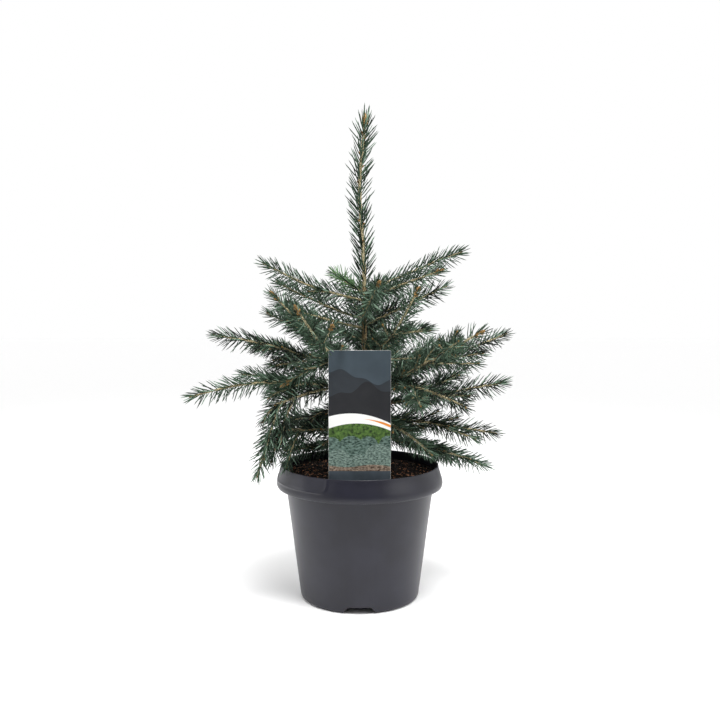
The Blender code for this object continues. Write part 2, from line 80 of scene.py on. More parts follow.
NOTCH_HEADINGS = (-90, 30, 150)
NOTCH_TOP_HALF = 0.0155
NOTCH_BASE_HALF = 0.0215
NOTCH_HEIGHT = 0.0092
NOTCH_ROUND = 0.0025
NOTCH_FOOT = ((-0.0006, 0.0024), (0.0002, 0.0012), (0.0011, 0.0004))  # past its base half, height
BODY_FOOT = ((0.0007, 0.0114), (0.0006, 0.0102), (0.0005, NOTCH_HEIGHT))  # out from its base, height
NOTCH_REACH = 0.0240  # from a notch's middle to where its side has met the ground
DRAIN_RADIUS = 0.0050
DRAIN_CIRCLE = 0.0460
DRAIN_COUNT = 6
GRIP_HEADINGS = (-143, 37)
GRIP_HALF_ANGLE = 31.5
GRIP_DEPTH_BELOW_RIM = 0.0205
GRIP_CORNER = 0.012
GRIP_BEAD = 0.0012  # how far the bead round a grip panel stands out
GRIP_BEAD_HALF = 0.0022  # half its width
OUTSIDE_SLOPE = 0.2  # a point further out than this slope from the rim is on the band's outside
POT_COLUMN_ANGLE = 1.0
POT_GRAIN = 0.0012  # spark-eroded grain of about 0.3 mm, drawn coarser so that it shows
POT_GREY = "#1a1a24"
POT_GREY_WORN = "#22222d"


def round_corner(centre, radius, start, end, steps=6):
    """Points of an arc round a centre of (radius, height), from one angle to another in degrees."""
    angles = [radians(start + (end - start) * i / steps) for i in range(steps + 1)]
    return [(centre[0] + radius * cos(a), centre[1] + radius * sin(a)) for a in angles]


def swept_curve(start, start_handle, end_handle, end, steps=12):
    """Points of a cubic Bezier curve."""
    points = []
    for number in range(steps + 1):
        t = number / steps
        weights = ((1 - t) ** 3, 3 * t * (1 - t) ** 2, 3 * t * t * (1 - t), t**3)
        corners = (start, start_handle, end_handle, end)
        points.append(tuple(sum(w * c[axis] for w, c in zip(weights, corners)) for axis in (0, 1)))
    return points


def straight(start, end, steps):
    """Points from start to just before end."""
    shares = [number / steps for number in range(steps)]
    return [tuple(a + (b - a) * share for a, b in zip(start, end)) for share in shares]


def smooth_step(value):
    value = min(max(value, 0.0), 1.0)
    return value * value * (3 - 2 * value)


def made_mesh(shape, name):
    """What has been built in a bmesh, as a plain mesh."""
    mesh = bpy.data.meshes.new(name)
    shape.to_mesh(mesh)
    shape.free()
    return mesh


def turned_mesh(name, profile, angles, place):
    """Turns a profile of (radius, height) round Z; place gives each point its final position."""
    shape = bmesh.new()
    columns = []
    for angle in angles:
        columns.append([shape.verts.new(place(radius, height, angle)) for radius, height in profile])
    for number, column in enumerate(columns):
        following = columns[(number + 1) % len(columns)]
        for row in range(len(profile) - 1):
            shape.faces.new((column[row], column[row + 1], following[row + 1], following[row]))
    bmesh.ops.remove_doubles(shape, verts=shape.verts, dist=1e-6)
    bmesh.ops.recalc_face_normals(shape, faces=shape.faces)
    return made_mesh(shape, name)


def add_piece(name, mesh, *materials):
    piece = bpy.data.objects.new(name, mesh)
    bpy.context.scene.collection.objects.link(piece)
    for material in materials:
        mesh.materials.append(material)
    return piece


def finished_mesh(piece):
    """The mesh of an object with its modifiers applied."""
    graph = bpy.context.evaluated_depsgraph_get()
    return bpy.data.meshes.new_from_object(piece.evaluated_get(graph))


def apply_modifiers(piece):
    piece.data = finished_mesh(piece)
    piece.modifiers.clear()


def shade(mesh, crease=40):
    """Smooth shading, with every edge sharper than the crease angle left sharp."""
    mesh.shade_smooth()
    mesh.set_sharp_from_angle(angle=radians(crease))


def linear(colour):
    """An sRGB hex colour as linear red, green, blue and alpha."""
    parts = [int(colour[i : i + 2], 16) / 255 for i in (1, 3, 5)]
    return (*[p / 12.92 if p <= 0.04045 else ((p + 0.055) / 1.055) ** 2.4 for p in parts], 1.0)


def add_node(tree, kind, inputs=None, **settings):
    """Adds a node with its settings. Each input, by name or number, takes a socket or a value."""
    node = tree.nodes.new(kind)
    for name, value in settings.items():
        setattr(node, name, value)
    for key, value in (inputs or {}).items():
        if isinstance(value, bpy.types.NodeSocket):
            tree.links.new(value, node.inputs[key])
        else:
            node.inputs[key].default_value = value
    return node


def outcome(tree, kind, inputs=None, **settings):
    """The first output of a new node."""
    return add_node(tree, kind, inputs, **settings).outputs[0]


def start_material(name, **numbers):
    """A new material, its tree, its shader with numbers set on its own sockets, and the place."""
    material = bpy.data.materials.new(name)
    material.use_nodes = True
    tree = material.node_tree
    shader = tree.nodes["Principled BSDF"]
    for socket, value in numbers.items():
        shader.inputs[socket.replace("_", " ")].default_value = value
    return material, tree, shader, add_node(tree, "ShaderNodeTexCoord").outputs["Object"]


def mottled(tree, place, size, low, high, detail=3.0):
    """A colour that wanders between two hex colours in patches of a given size."""
    patches = outcome(tree, "ShaderNodeTexNoise", {"Vector": place, "Scale": 1 / size, "Detail": detail})
    ramp = add_node(tree, "ShaderNodeValToRGB", {"Fac": patches})
    for element, position, colour in zip(ramp.color_ramp.elements, (0.35, 0.65), (low, high)):
        element.position = position
        element.color = linear(colour)
    return ramp.outputs["Color"]


def raise_surface(tree, shader, height, depth):
    """Bump on a shader: height is 0 to 1 and depth what that is in metres."""
    bump = outcome(tree, "ShaderNodeBump", {"Height": height, "Distance": depth, "Strength": 1.0})
    tree.links.new(bump, shader.inputs["Normal"])


def raise_grain(tree, shader, place, size, depth, detail=2.0):
    """Bump from a noise whose grains have a given size in metres."""
    grain = outcome(tree, "ShaderNodeTexNoise", {"Vector": place, "Scale": 1 / size, "Detail": detail})
    raise_surface(tree, shader, grain, depth)


def grained_finish(name, low, high, patch, grain, depth, detail=2.0, **numbers):
    """A finish in patches between two hex colours, with a fine grain; sizes are in metres."""
    material, tree, shader, place = start_material(name, **numbers)
    tree.links.new(mottled(tree, place, patch, low, high), shader.inputs["Base Color"])
    raise_grain(tree, shader, place, grain, depth, detail)
    return material


def pot_plastic():
    """Moulded polypropylene, coloured through: matt, with a soft broad gloss and no sparkle."""
    return grained_finish("moulded_grey_polypropylene", POT_GREY, POT_GREY_WORN, patch=0.05, grain=POT_GRAIN,
                          depth=0.00006, Roughness=0.38, IOR=1.49, Specular_IOR_Level=0.44)


def moved(point, across, up):
    """A point of a section, shifted."""
    return point[0] + across, point[1] + up


def pot_inner_wall():
    """The inside of the pot from the floor's edge up to the rim."""
    shoulder = POT_HEIGHT - BAND_HEIGHT
    floor_top = FLOOR_HEIGHT + FLOOR_THICKNESS
    slope = (BODY_TOP_RADIUS - BODY_BASE_RADIUS) / shoulder
    widest = (POT_RADIUS - POT_WALL, POT_HEIGHT - BAND_WIDEST)
    top = (RIM_RADIUS - POT_WALL, POT_HEIGHT - RIM_ROUND)
    wall = [(BODY_BASE_RADIUS + slope * floor_top - POT_WALL, floor_top)]
    wall += [(BODY_TOP_RADIUS - POT_WALL, shoulder), (POT_RADIUS - BAND_LIP - POT_WALL, shoulder + BAND_STEP)]
    return wall + swept_curve(widest, moved(widest, 0, BAND_INNER_RISE), moved(top, *RIM_HANDLE), top)


def pot_section():
    """The pot's section, from the axis over the floor, up inside and down outside."""
    shoulder = POT_HEIGHT - BAND_HEIGHT
    inside = pot_inner_wall()
    top = (RIM_RADIUS, POT_HEIGHT - RIM_ROUND)
    crown = round_corner(moved(top, RIM_ROUND - POT_WALL, 0), RIM_ROUND, 180, 90, 4)
    crown += round_corner(moved(top, -RIM_ROUND, 0), RIM_ROUND, 90, 0, 4)
    widest = (POT_RADIUS, POT_HEIGHT - BAND_WIDEST)
    lip = (POT_RADIUS - BAND_LIP, shoulder)
    band = swept_curve(top, moved(top, *RIM_HANDLE), moved(widest, 0, BAND_RISE), widest, 18)
    band += swept_curve(widest, moved(widest, 0, -BAND_FALL), moved(lip, BAND_LIP_ROUND, 0), lip, 8)[1:]
    fillet = (BODY_TOP_RADIUS + BODY_FILLET, shoulder - BAND_STEP)
    body = [fillet] + round_corner(moved(fillet, 0, -BODY_FILLET), BODY_FILLET, 90, 172, 4)
    body += straight(*BODY_SIDE, 24)
    body += [(BODY_BASE_RADIUS + out, height) for out, height in BODY_FOOT]
    corner = round_corner((BODY_BASE_RADIUS - BASE_CORNER, BASE_CORNER), BASE_CORNER, -8, -90, 12)
    foot = round_corner((FOOT_INNER_RADIUS + FOOT_ROUND, FOOT_ROUND), FOOT_ROUND, 270, 195, 3)
    foot += [(FOOT_INNER_RADIUS - FOOT_DRAFT, FLOOR_HEIGHT), (0.0, FLOOR_HEIGHT)]
    return [(0.0, inside[0][1])] + inside + crown[1:] + band[1:] + body + corner[1:] + foot


def notch_side():
    """Half of a notch's outline, as (distance from its middle, height)."""
    side = round_corner((NOTCH_TOP_HALF - NOTCH_ROUND, NOTCH_HEIGHT - NOTCH_ROUND), NOTCH_ROUND, 90, 28, 6)
    side += [(NOTCH_BASE_HALF + past, height) for past, height in NOTCH_FOOT]
    return side + [(NOTCH_REACH, 0.0)]


def notch_height(across):
    """Height of the notch at a distance from its middle."""
    side = notch_side()
    if across <= side[0][0]:
        return NOTCH_HEIGHT
    for (near, upper), (far, lower) in zip(side, side[1:]):
        if across <= far:
            return upper + (lower - upper) * (across - near) / max(far - near, 1e-9)
    return 0.0


def angle_between(angle, heading):
    """How far an angle is from a heading, in degrees."""
    return abs((angle - heading + 180) % 360 - 180)


def pot_angles():
    """The headings of the pot's columns: even, with extra ones at the sides of each notch."""
    outer = BODY_BASE_RADIUS - BASE_CORNER / 2
    reach = NOTCH_REACH / outer * 180 / pi
    count = round(360 / POT_COLUMN_ANGLE)
    even = [360 * number / count for number in range(count)]
    angles = [a for a in even if min(angle_between(a, h) for h in NOTCH_HEADINGS) > reach]
    sides = [across / outer * 180 / pi for across, _ in notch_side()]
    flats = [sides[0] * share for share in (0.2, 0.4, 0.6, 0.8)]
    for heading in NOTCH_HEADINGS:
        angles.append(heading % 360)
        for offset in flats + sides:
            angles += [(heading + offset) % 360, (heading - offset) % 360]
    return sorted(set(angles))


def grip_bead(angle, below_rim):
    """How far up the bead round a grip panel a point of the band is, from 0 to 1."""
    highest = 0.0
    for heading in GRIP_HEADINGS:
        beside = (GRIP_HALF_ANGLE - angle_between(angle, heading)) * pi / 180 * POT_RADIUS
        above = GRIP_DEPTH_BELOW_RIM - below_rim
        inside = min(beside, above)
        if beside < GRIP_CORNER and above < GRIP_CORNER:
            inside = GRIP_CORNER - sqrt((GRIP_CORNER - beside) ** 2 + (GRIP_CORNER - above) ** 2)
        highest = max(highest, smooth_step(1 - abs(inside / GRIP_BEAD_HALF - 1)))
    return highest


def pot_point(radius, height, angle):
    """A point of the pot, lifted where it is in a notch and raised on the bead of a grip panel."""
    if radius > FOOT_INNER_RADIUS - FOOT_DRAFT - 0.0005 and height < NOTCH_HEIGHT:
        nearest = min(angle_between(angle, heading) for heading in NOTCH_HEADINGS)
        across = nearest * pi / 180 * (BODY_BASE_RADIUS - BASE_CORNER / 2)
        height = max(height, notch_height(across))
    wall_middle = RIM_RADIUS - POT_WALL / 2
    below_rim = POT_HEIGHT - height
    if 0 < below_rim < BAND_HEIGHT and radius > wall_middle + below_rim * OUTSIDE_SLOPE:
        radius += GRIP_BEAD * grip_bead(angle, below_rim)
    turn = radians(angle)
    return Vector((radius * cos(turn), radius * sin(turn), height))


def drain_cutter():
    """Upright pegs where the floor has its drain holes."""
    shape = bmesh.new()
    for number in range(DRAIN_COUNT):
        turn = 2 * pi * (number + 0.5) / DRAIN_COUNT
        place = Matrix.Translation((DRAIN_CIRCLE * cos(turn), DRAIN_CIRCLE * sin(turn), FLOOR_HEIGHT))
        bmesh.ops.create_cone(shape, cap_ends=True, segments=24, radius1=DRAIN_RADIUS,
                              radius2=DRAIN_RADIUS, depth=4 * FLOOR_THICKNESS, matrix=place)
    return add_piece("drain_cutter", made_mesh(shape, "drain_cutter"))


pot_shell = add_piece("pot_shell", turned_mesh("pot_shell", pot_section(), pot_angles(), pot_point),
                      pot_plastic())
cutter = drain_cutter()
drains = pot_shell.modifiers.new("drains", "BOOLEAN")
drains.object = cutter
apply_modifiers(pot_shell)
bpy.data.objects.remove(cutter)
shade(pot_shell.data)
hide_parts("pot")
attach(pot_shell, "root")

# ----------------------------------------------------------------------------------------
# The potting mix: dark peat with bits of bark, coir and a few grains of white pumice,
# filled loose and settled by watering, so that it is lumpy and a little lower at the wall.
# ----------------------------------------------------------------------------------------

SOIL_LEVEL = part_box("potting_mix")[1].z
WALL_GAP = 0.0004
SOIL_RINGS = 56
SOIL_COLUMNS = 200
SOIL_LUMP = 0.012  # size of the lumps
SOIL_LUMP_HEIGHT = 0.0022
SOIL_SETTLED = 0.0015  # lower at the wall
SETTLED_FROM, SETTLED_OVER = 0.6, 0.3  # where that starts and how wide it is, in pot radii
CARD_DISTANCE = -(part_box("care_card")[0].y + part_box("care_card")[1].y) / 2
CARD_HALF_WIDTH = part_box("care_card")[1].x
CARD_KEPT_CLEAR = 0.0042  # no crumbs nearer to the card than this
LITTER_REACH = 0.104  # from the pot's axis

# what lies on the mix: number to a square metre, smallest and largest size, colours
Litter = namedtuple("Litter", "name material number smallest largest low high")
LITTER = (
    Litter("mix_crumbs", "peat_crumbs", 150000, 0.0010, 0.0026, "#0f0806", "#2b1b15"),
    Litter("mix_bark_chips", "composted_bark", 24000, 0.0010, 0.0026, "#7d5039", "#bd8a67"),
    Litter("mix_pumice", "pumice_grains", 1900, 0.0008, 0.0014, "#b3a694", "#dacfbf"),
    Litter("mix_coir", "coir_fibre", 17000, 0.0035, 0.0090, "#8a6547", "#b8936b"),
)
LITTER_SEED = 5
CRUMB_SIZE, CRUMB_ROUGH, CRUMB_FLAT = 0.75, 0.5, 0.7
FIBRE_RADIUS, FIBRE_TAPER = 0.030, 0.6  # in the middle, and how much thinner its ends are
FIBRE_CURL, FIBRE_ARCH = 0.16, 0.10  # how far a fibre bends aside and up
FIBRE_TILT = 0.12  # how far a fibre may tilt, as a share of how far a crumb may


def start_tree(name, **kinds):
    """A geometry tree with named inputs: the tree, its inputs, and the socket of its result."""
    tree = bpy.data.node_groups.new(name, "GeometryNodeTree")
    tree.interface.new_socket("Geometry", in_out="INPUT", socket_type="NodeSocketGeometry")
    tree.interface.new_socket("Geometry", in_out="OUTPUT", socket_type="NodeSocketGeometry")
    for label, kind in kinds.items():
        tree.interface.new_socket(label, in_out="INPUT", socket_type="NodeSocket" + kind)
    return tree, tree.nodes.new("NodeGroupInput").outputs, tree.nodes.new("NodeGroupOutput").inputs[0]


def finish_tree(tree, geometry, given, end):
    """Ends a geometry tree: what stands on points is made real, and gets its finish."""
    real = outcome(tree, "GeometryNodeRealizeInstances", {"Geometry": geometry})
    finished = {"Geometry": real, "Material": given["Finish"]}
    tree.links.new(outcome(tree, "GeometryNodeSetMaterial", finished), end)
    return tree


def carried_value(tree, name, kind="FLOAT"):
    """What the points carry under a name."""
    return outcome(tree, "GeometryNodeInputNamedAttribute", {"Name": name}, data_type=kind)


def random_number(tree, low, high, seed, number=None):
    """A number between two others for each point, by its number where one is given."""
    inputs = {2: low, 3: high, "Seed": seed}
    if number:
        inputs["ID"] = number
    return add_node(tree, "FunctionNodeRandomValue", inputs).outputs[1]


def calculate(tree, operation, *values):
    return outcome(tree, "ShaderNodeMath", dict(enumerate(values)), operation=operation)


def calculate_vector(tree, operation, first, second):
    """A sum with vectors, or for SCALE with a vector and a number."""
    inputs = {0: first, "Scale" if operation == "SCALE" else 1: second}
    return outcome(tree, "ShaderNodeVectorMath", inputs, operation=operation)


def grown_piece(name, mesh, tree, **values):
    """A new piece: the plain mesh that a geometry tree makes of another mesh."""
    piece = add_piece(name, mesh)
    modifier = piece.modifiers.new("grow", "NODES")
    modifier.node_group = tree
    for item in tree.interface.items_tree:
        if item.in_out == "INPUT" and item.name in values:
            modifier[item.identifier] = values[item.name]
    apply_modifiers(piece)
    piece.data.materials.clear()
    piece.data.materials.append(values["Finish"])
    for attribute in [a.name for a in piece.data.attributes if not a.is_required and not a.is_internal]:
        if not attribute.startswith("sharp"):
            piece.data.attributes.remove(piece.data.attributes[attribute])
    return piece


def litter_tree():
    """Strews a shape over a surface, turned at random, as thick as the surface's cover says."""
    tree, given, end = start_tree("strew", Shape="Object", Number="Float", Smallest="Float",
                                  Largest="Float", Flat="Float", Seed="Int", Finish="Material")
    number = calculate(tree, "MULTIPLY", given["Number"], carried_value(tree, "cover"))
    points = outcome(tree, "GeometryNodeDistributePointsOnFaces",
                     {"Mesh": given["Geometry"], "Density": number, "Seed": given["Seed"]})
    shape = add_node(tree, "GeometryNodeObjectInfo", {"Object": given["Shape"]})
    turn = outcome(tree, "FunctionNodeRandomValue", {1: (pi, pi, 2 * pi)}, data_type="FLOAT_VECTOR")
    flat = outcome(tree, "ShaderNodeCombineXYZ", {"X": given["Flat"], "Y": given["Flat"], "Z": 1.0})
    lying = calculate_vector(tree, "MULTIPLY", turn, flat)
    strewn = outcome(tree, "GeometryNodeInstanceOnPoints", {
        "Points": points, "Instance": shape.outputs["Geometry"],
        "Rotation": outcome(tree, "FunctionNodeEulerToRotation", {"Euler": lying}),
        "Scale": random_number(tree, given["Smallest"], given["Largest"], given["Seed"])})
    return finish_tree(tree, strewn, given, end)


def crumb_shape():
    """A broken lump about one unit in radius, with twenty faces."""
    shape = bmesh.new()
    bmesh.ops.create_icosphere(shape, subdivisions=1, radius=1.0)
    for vertex in shape.verts:
        vertex.co *= CRUMB_SIZE + CRUMB_ROUGH * noise.noise(vertex.co * 1.7)
        vertex.co.z *= CRUMB_FLAT
    return made_mesh(shape, "crumb")


def join_rings(shape, rings):
    """Faces between each ring of points and the next."""
    for near, far in zip(rings, rings[1:]):
        for corner in range(len(near)):
            after = (corner + 1) % len(near)
            shape.faces.new((near[corner], near[after], far[after], far[corner]))


def fibre_shape():
    """A curled strand of one unit in length, three-sided."""
    shape = bmesh.new()
    rings = []
    for number in range(5):
        along = number / 4
        aside, up = FIBRE_CURL * sin(pi * along * 1.3), FIBRE_ARCH * sin(pi * along) + 0.02
        middle = Vector((along - 0.5, aside, up))
        radius = FIBRE_RADIUS * (1.0 - FIBRE_TAPER * abs(2 * along - 1))
        turns = (2 * pi * corner / 3 for corner in range(3))
        rings.append([shape.verts.new(middle + radius * Vector((0, cos(t), sin(t)))) for t in turns])
    join_rings(shape, rings)
    shape.faces.new(rings[0])
    shape.faces.new(reversed(rings[-1]))
    bmesh.ops.recalc_face_normals(shape, faces=shape.faces)
    return made_mesh(shape, "fibre")


def soil_section():
    """The fill's section: rings over the top, down the wall and under the bottom."""
    wall = [(radius - WALL_GAP, height) for radius, height in pot_inner_wall()]
    bottom = FLOOR_HEIGHT + FLOOR_THICKNESS + WALL_GAP
    outer = [point for point in wall if point[1] < SOIL_LEVEL - 0.0005]
    above = [point for point in wall if point[1] >= SOIL_LEVEL - 0.0005][0]
    share = (SOIL_LEVEL - outer[-1][1]) / (above[1] - outer[-1][1])
    edge = outer[-1][0] + (above[0] - outer[-1][0]) * share
    top = [(edge * number / SOIL_RINGS, SOIL_LEVEL) for number in range(SOIL_RINGS + 1)]
    return top + outer[:0:-1] + [(outer[0][0], bottom), (0.0, bottom)]


def soil_point(radius, height, angle):
    turn = radians(angle)
    place = Vector((radius * cos(turn), radius * sin(turn), height))
    if height > SOIL_LEVEL - 0.0001:
        lumps = noise.fractal(place / SOIL_LUMP, 0.6, 2.3, 4)
        beside_wall = (radius - SETTLED_FROM * POT_RADIUS) / (SETTLED_OVER * POT_RADIUS)
        place.z += SOIL_LUMP_HEIGHT * lumps - SOIL_SETTLED * smooth_step(beside_wall)
    return place


def peat():
    """Moist peat: nearly black, rough and without gloss."""
    return grained_finish("moist_peat", "#0c0705", "#1f140e", patch=0.004, grain=0.0015, depth=0.0006,
                          detail=4.0, Roughness=0.92, IOR=1.4)


def litter_finish(litter):
    """Peat, bark, pumice or coir: dry, rough and matt."""
    return grained_finish(litter.material, litter.low, litter.high, patch=0.003, grain=0.0006, depth=0.0002,
                          Roughness=0.85, IOR=1.45)


soil_angles = [360 * number / SOIL_COLUMNS for number in range(SOIL_COLUMNS)]
mix_bed = add_piece("mix_bed", turned_mesh("mix_bed", soil_section(), soil_angles, soil_point), peat())
cover = mix_bed.data.attributes.new("cover", "FLOAT", "POINT")
for vertex in mix_bed.data.vertices:
    beside_card = abs(vertex.co.y + CARD_DISTANCE) > CARD_KEPT_CLEAR
    clear_of_card = beside_card or abs(vertex.co.x) > CARD_HALF_WIDTH + CARD_KEPT_CLEAR
    on_top = vertex.co.z > SOIL_LEVEL - 2 * SOIL_LUMP_HEIGHT and vertex.co.xy.length < LITTER_REACH
    cover.data[vertex.index].value = float(clear_of_card and on_top)
strew = litter_tree()
crumb = bpy.data.objects.new("crumb", crumb_shape())
fibre = bpy.data.objects.new("fibre", fibre_shape())
for number, litter in enumerate(LITTER):
    is_fibre = litter.name == "mix_coir"
    piece = grown_piece(litter.name, mix_bed.data.copy(), strew, Shape=fibre if is_fibre else crumb,
                        Number=litter.number, Smallest=litter.smallest, Largest=litter.largest,
                        Flat=FIBRE_TILT if is_fibre else 1.0, Seed=LITTER_SEED + number,
                        Finish=litter_finish(litter))
    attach(piece, "root")
mix_bed.data.attributes.remove(mix_bed.data.attributes["cover"])
shade(mix_bed.data, 60)
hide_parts("potting_mix")
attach(mix_bed, "root")

# ----------------------------------------------------------------------------------------
# The care card: a die-cut sheet of white polypropylene, 0.8 mm thick, with a stake. Its
# front is offset-printed: slate sky over hills, a white sweep, and shrubs by a gravel path.
# ----------------------------------------------------------------------------------------

CARD_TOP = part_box("care_card")[1].z
CARD_CLEAR = 0.002  # from the potting mix to the card's lower edge
CARD_BOTTOM = SOIL_LEVEL + CARD_CLEAR
CARD_HEIGHT = CARD_TOP - CARD_BOTTOM
CARD_THICKNESS = 0.0008
CARD_CORNER = 0.002
CARD_EDGE = 0.0001  # rounding of the die-cut edge
STAKE_HALF = 0.012
STAKE_FILLET = 0.002
STAKE_TIP_HALF = 0.003
STAKE_TIP_ROUND = 0.001
STAKE_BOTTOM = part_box("care_card")[0].z
STAKE_POINT = 0.020
PRINT_INSET = 0.0002
PRINT_THICKNESS = 0.00004
PRINT_COLUMNS = 200

# heights on the card, above its bottom edge
STRIP_TOP = 0.0180
PATH_TOP = 0.0245
SWEEP_MIDDLE = 0.0860
SWEEP_HALF = 0.0062
SWEEP_BOW = 0.0080  # how much lower the white sweep is at its ends than in the middle
SWEEP_SLOPE = 0.0030  # how much lower still at its right end, and higher at its left
SWEEP_TAPER = 0.25  # how much narrower it is at its right end than in the middle
STRIPE_HALF = 0.00176
STRIPE_START = 0.05  # where the stripe starts, as a part of the card's half width
STRIPE_RISE = 0.0010  # how far the stripe has left the sweep's middle at the card's right edge
LEAF_SIZE, LEAF_HEIGHT = 0.0016, 0.0009  # of the ruffles on the bushes
PATH_WAVES = ((0.0016, 0.011, 0.0),)
HILL_WAVES = ((0.0075, 0.0135, 0.8), (0.0035, 0.0056, 0.0))
FAR_HILL_WAVES = ((0.0085, 0.0175, 3.3), (0.0020, 0.0049, 0.0))
HILL_TOP = 0.123
FAR_HILL_TOP = 0.140

# bushes on the print: middle across the card, height of their middle, radius
Bush = namedtuple("Bush", "across height radius")
FRONT_BUSHES = (Bush(-0.0275, 0.030, 0.0165), Bush(-0.002, 0.028, 0.0120), Bush(0.0250, 0.034, 0.0195))
MIDDLE_BUSHES = (Bush(-0.0360, 0.050, 0.0120), Bush(-0.011, 0.046, 0.0175), Bush(0.0110, 0.050, 0.0130),
                 Bush(0.037, 0.052, 0.0120))


def card_outline():
    """The die's outline as (x, z): a rectangle with round corners, and the stake below it."""
    half = CARD_HALF_WIDTH
    right = round_corner((half - CARD_CORNER, CARD_TOP - CARD_CORNER), CARD_CORNER, 90, 0)
    right += round_corner((half - CARD_CORNER, CARD_BOTTOM + CARD_CORNER), CARD_CORNER, 0, -90)
    right += round_corner((STAKE_HALF + STAKE_FILLET, CARD_BOTTOM - STAKE_FILLET), STAKE_FILLET, 90, 180, 4)
    right += [(STAKE_HALF, STAKE_BOTTOM + STAKE_POINT)]
    tip = (STAKE_TIP_HALF - STAKE_TIP_ROUND, STAKE_BOTTOM + STAKE_TIP_ROUND)
    right += round_corner(tip, STAKE_TIP_ROUND, -20, -90, 3)
    return right + [(-x, z) for x, z in reversed(right)]


def card_plate():
    """The die-cut sheet, upright, with its edge a little rounded."""
    curve = bpy.data.curves.new("card_plate", "CURVE")
    curve.dimensions = "2D"
    curve.fill_mode = "BOTH"
    curve.extrude = CARD_THICKNESS / 2 - CARD_EDGE
    curve.bevel_depth = CARD_EDGE
    curve.bevel_resolution = 1
    curve.offset = -CARD_EDGE
    spline = curve.splines.new("POLY")
    outline = card_outline()
    spline.points.add(len(outline) - 1)
    for point, (x, z) in zip(spline.points, outline):
        point.co = (x, z, 0.0, 1.0)
    spline.use_cyclic_u = True
    rough = add_piece("card_rough", curve)
    mesh = finished_mesh(rough)
    bpy.data.objects.remove(rough)
    mesh.transform(Matrix.Translation((0, -CARD_DISTANCE, 0)) @ Matrix.Rotation(pi / 2, 4, "X"))
    shape = bmesh.new()
    shape.from_mesh(mesh)
    bmesh.ops.remove_doubles(shape, verts=shape.verts, dist=1e-7)
    bmesh.ops.recalc_face_normals(shape, faces=shape.faces)
    return made_mesh(shape, "card_sheet")


def bush_line(across, bushes):
    """The height of the tops of a row of round bushes, ruffled by their leaves."""
    top = 0.0
    for bush in bushes:
        beside = abs(across - bush.across) / bush.radius
        if beside < 1:
            top = max(top, bush.height + bush.radius * sqrt(1 - beside * beside))
    return top + LEAF_HEIGHT * noise.noise(Vector((across / LEAF_SIZE, len(bushes), 0.0)))


def waved(across, waves):
    """A height made of waves, each given as (height, length, start)."""
    return sum(height * sin(across / length + start) for height, length, start in waves)


def print_edges(across):
    """The heights between the fields of the print, from the card's bottom to its top."""
    share = across / CARD_HALF_WIDTH
    corner = max(0.0, abs(across) - (CARD_HALF_WIDTH - CARD_CORNER))
    cut_off = CARD_CORNER - sqrt(max(0.0, CARD_CORNER**2 - corner**2)) + PRINT_INSET
    path = PATH_TOP + waved(across, PATH_WAVES)
    front = max(path, bush_line(across, FRONT_BUSHES))
    middle = max(front, bush_line(across, MIDDLE_BUSHES))
    sweep = SWEEP_MIDDLE - SWEEP_BOW * share * share - SWEEP_SLOPE * share
    half = SWEEP_HALF * (1.0 - SWEEP_TAPER * share)
    stripe = STRIPE_HALF * smooth_step((share - STRIPE_START) / (1 - STRIPE_START))
    stripe_middle = sweep + STRIPE_RISE * share
    edges = [cut_off, STRIP_TOP, path, front, middle, sweep - half, stripe_middle - stripe]
    edges += [stripe_middle + stripe, sweep + half, HILL_TOP + waved(across, HILL_WAVES)]
    return edges + [FAR_HILL_TOP + waved(across, FAR_HILL_WAVES), CARD_HEIGHT - cut_off]


def printed_ink(name, low, high, grain, layers):
    """Matt offset ink on polypropylene: screened tones, laid closer in height where they have layers."""
    material, tree, shader, place = start_material(name, Roughness=0.55, IOR=1.50, Specular_IOR_Level=0.25)
    drawn = calculate_vector(tree, "MULTIPLY", place, (1.0, 1.0, layers))
    tree.links.new(mottled(tree, drawn, grain, low, high, 5.0), shader.inputs["Base Color"])
    raise_grain(tree, shader, place, size=0.0008, depth=0.00001, detail=1.0)
    return material


def card_plastic():
    """White polypropylene sheet: smooth, and faintly mottled."""
    return grained_finish("white_polypropylene_sheet", "#dcdcd8", "#e6e6e2", patch=0.02, grain=0.0020,
                          depth=0.00002, Roughness=0.40, IOR=1.49)


# the inks, one for each field of the print from the bottom up: name, dark, light, size of
# mottle, and how many times closer it lies in height than across
INKS = (
    ("slate_ink", "#3f474e", "#4a535b", 0.020, 1.0),
    ("gravel_ink", "#372923", "#a08d7a", 0.0034, 1.4),
    ("silver_shrub_ink", "#25352f", "#82978d", 0.0034, 2.2),
    ("blue_shrub_ink", "#1c2d28", "#677e74", 0.0038, 2.2),
    ("hedge_ink", "#1c2c14", "#557634", 0.0040, 1.0),
    ("white_ink", "#efefec", "#f5f5f2", 0.020, 1.0),
    ("ochre_ink", "#e0852a", "#e8933a", 0.020, 1.0),
    ("white_ink_above", "#efefec", "#f5f5f2", 0.020, 1.0),
    ("near_hill_ink", "#222326", "#27282b", 0.020, 1.0),
    ("far_hill_ink", "#2c3035", "#32373c", 0.020, 1.0),
    ("slate_sky_ink", "#3b454d", "#414c54", 0.030, 1.0),
)


def print_sheet():
    """The printed face as upright strips, each cut at the edges between the fields."""
    shape = bmesh.new()
    front = -CARD_DISTANCE - CARD_THICKNESS / 2 - PRINT_THICKNESS
    half = CARD_HALF_WIDTH - PRINT_INSET
    columns = []
    for number in range(PRINT_COLUMNS + 1):
        across = -half + 2 * half * number / PRINT_COLUMNS
        heights = print_edges(across)
        columns.append([shape.verts.new((across, front, CARD_BOTTOM + height)) for height in heights])
    for left, right in zip(columns, columns[1:]):
        for field in range(len(INKS)):
            face = shape.faces.new((left[field], right[field], right[field + 1], left[field + 1]))
            face.material_index = field
    bmesh.ops.remove_doubles(shape, verts=shape.verts, dist=1e-6)
    return made_mesh(shape, "card_print")


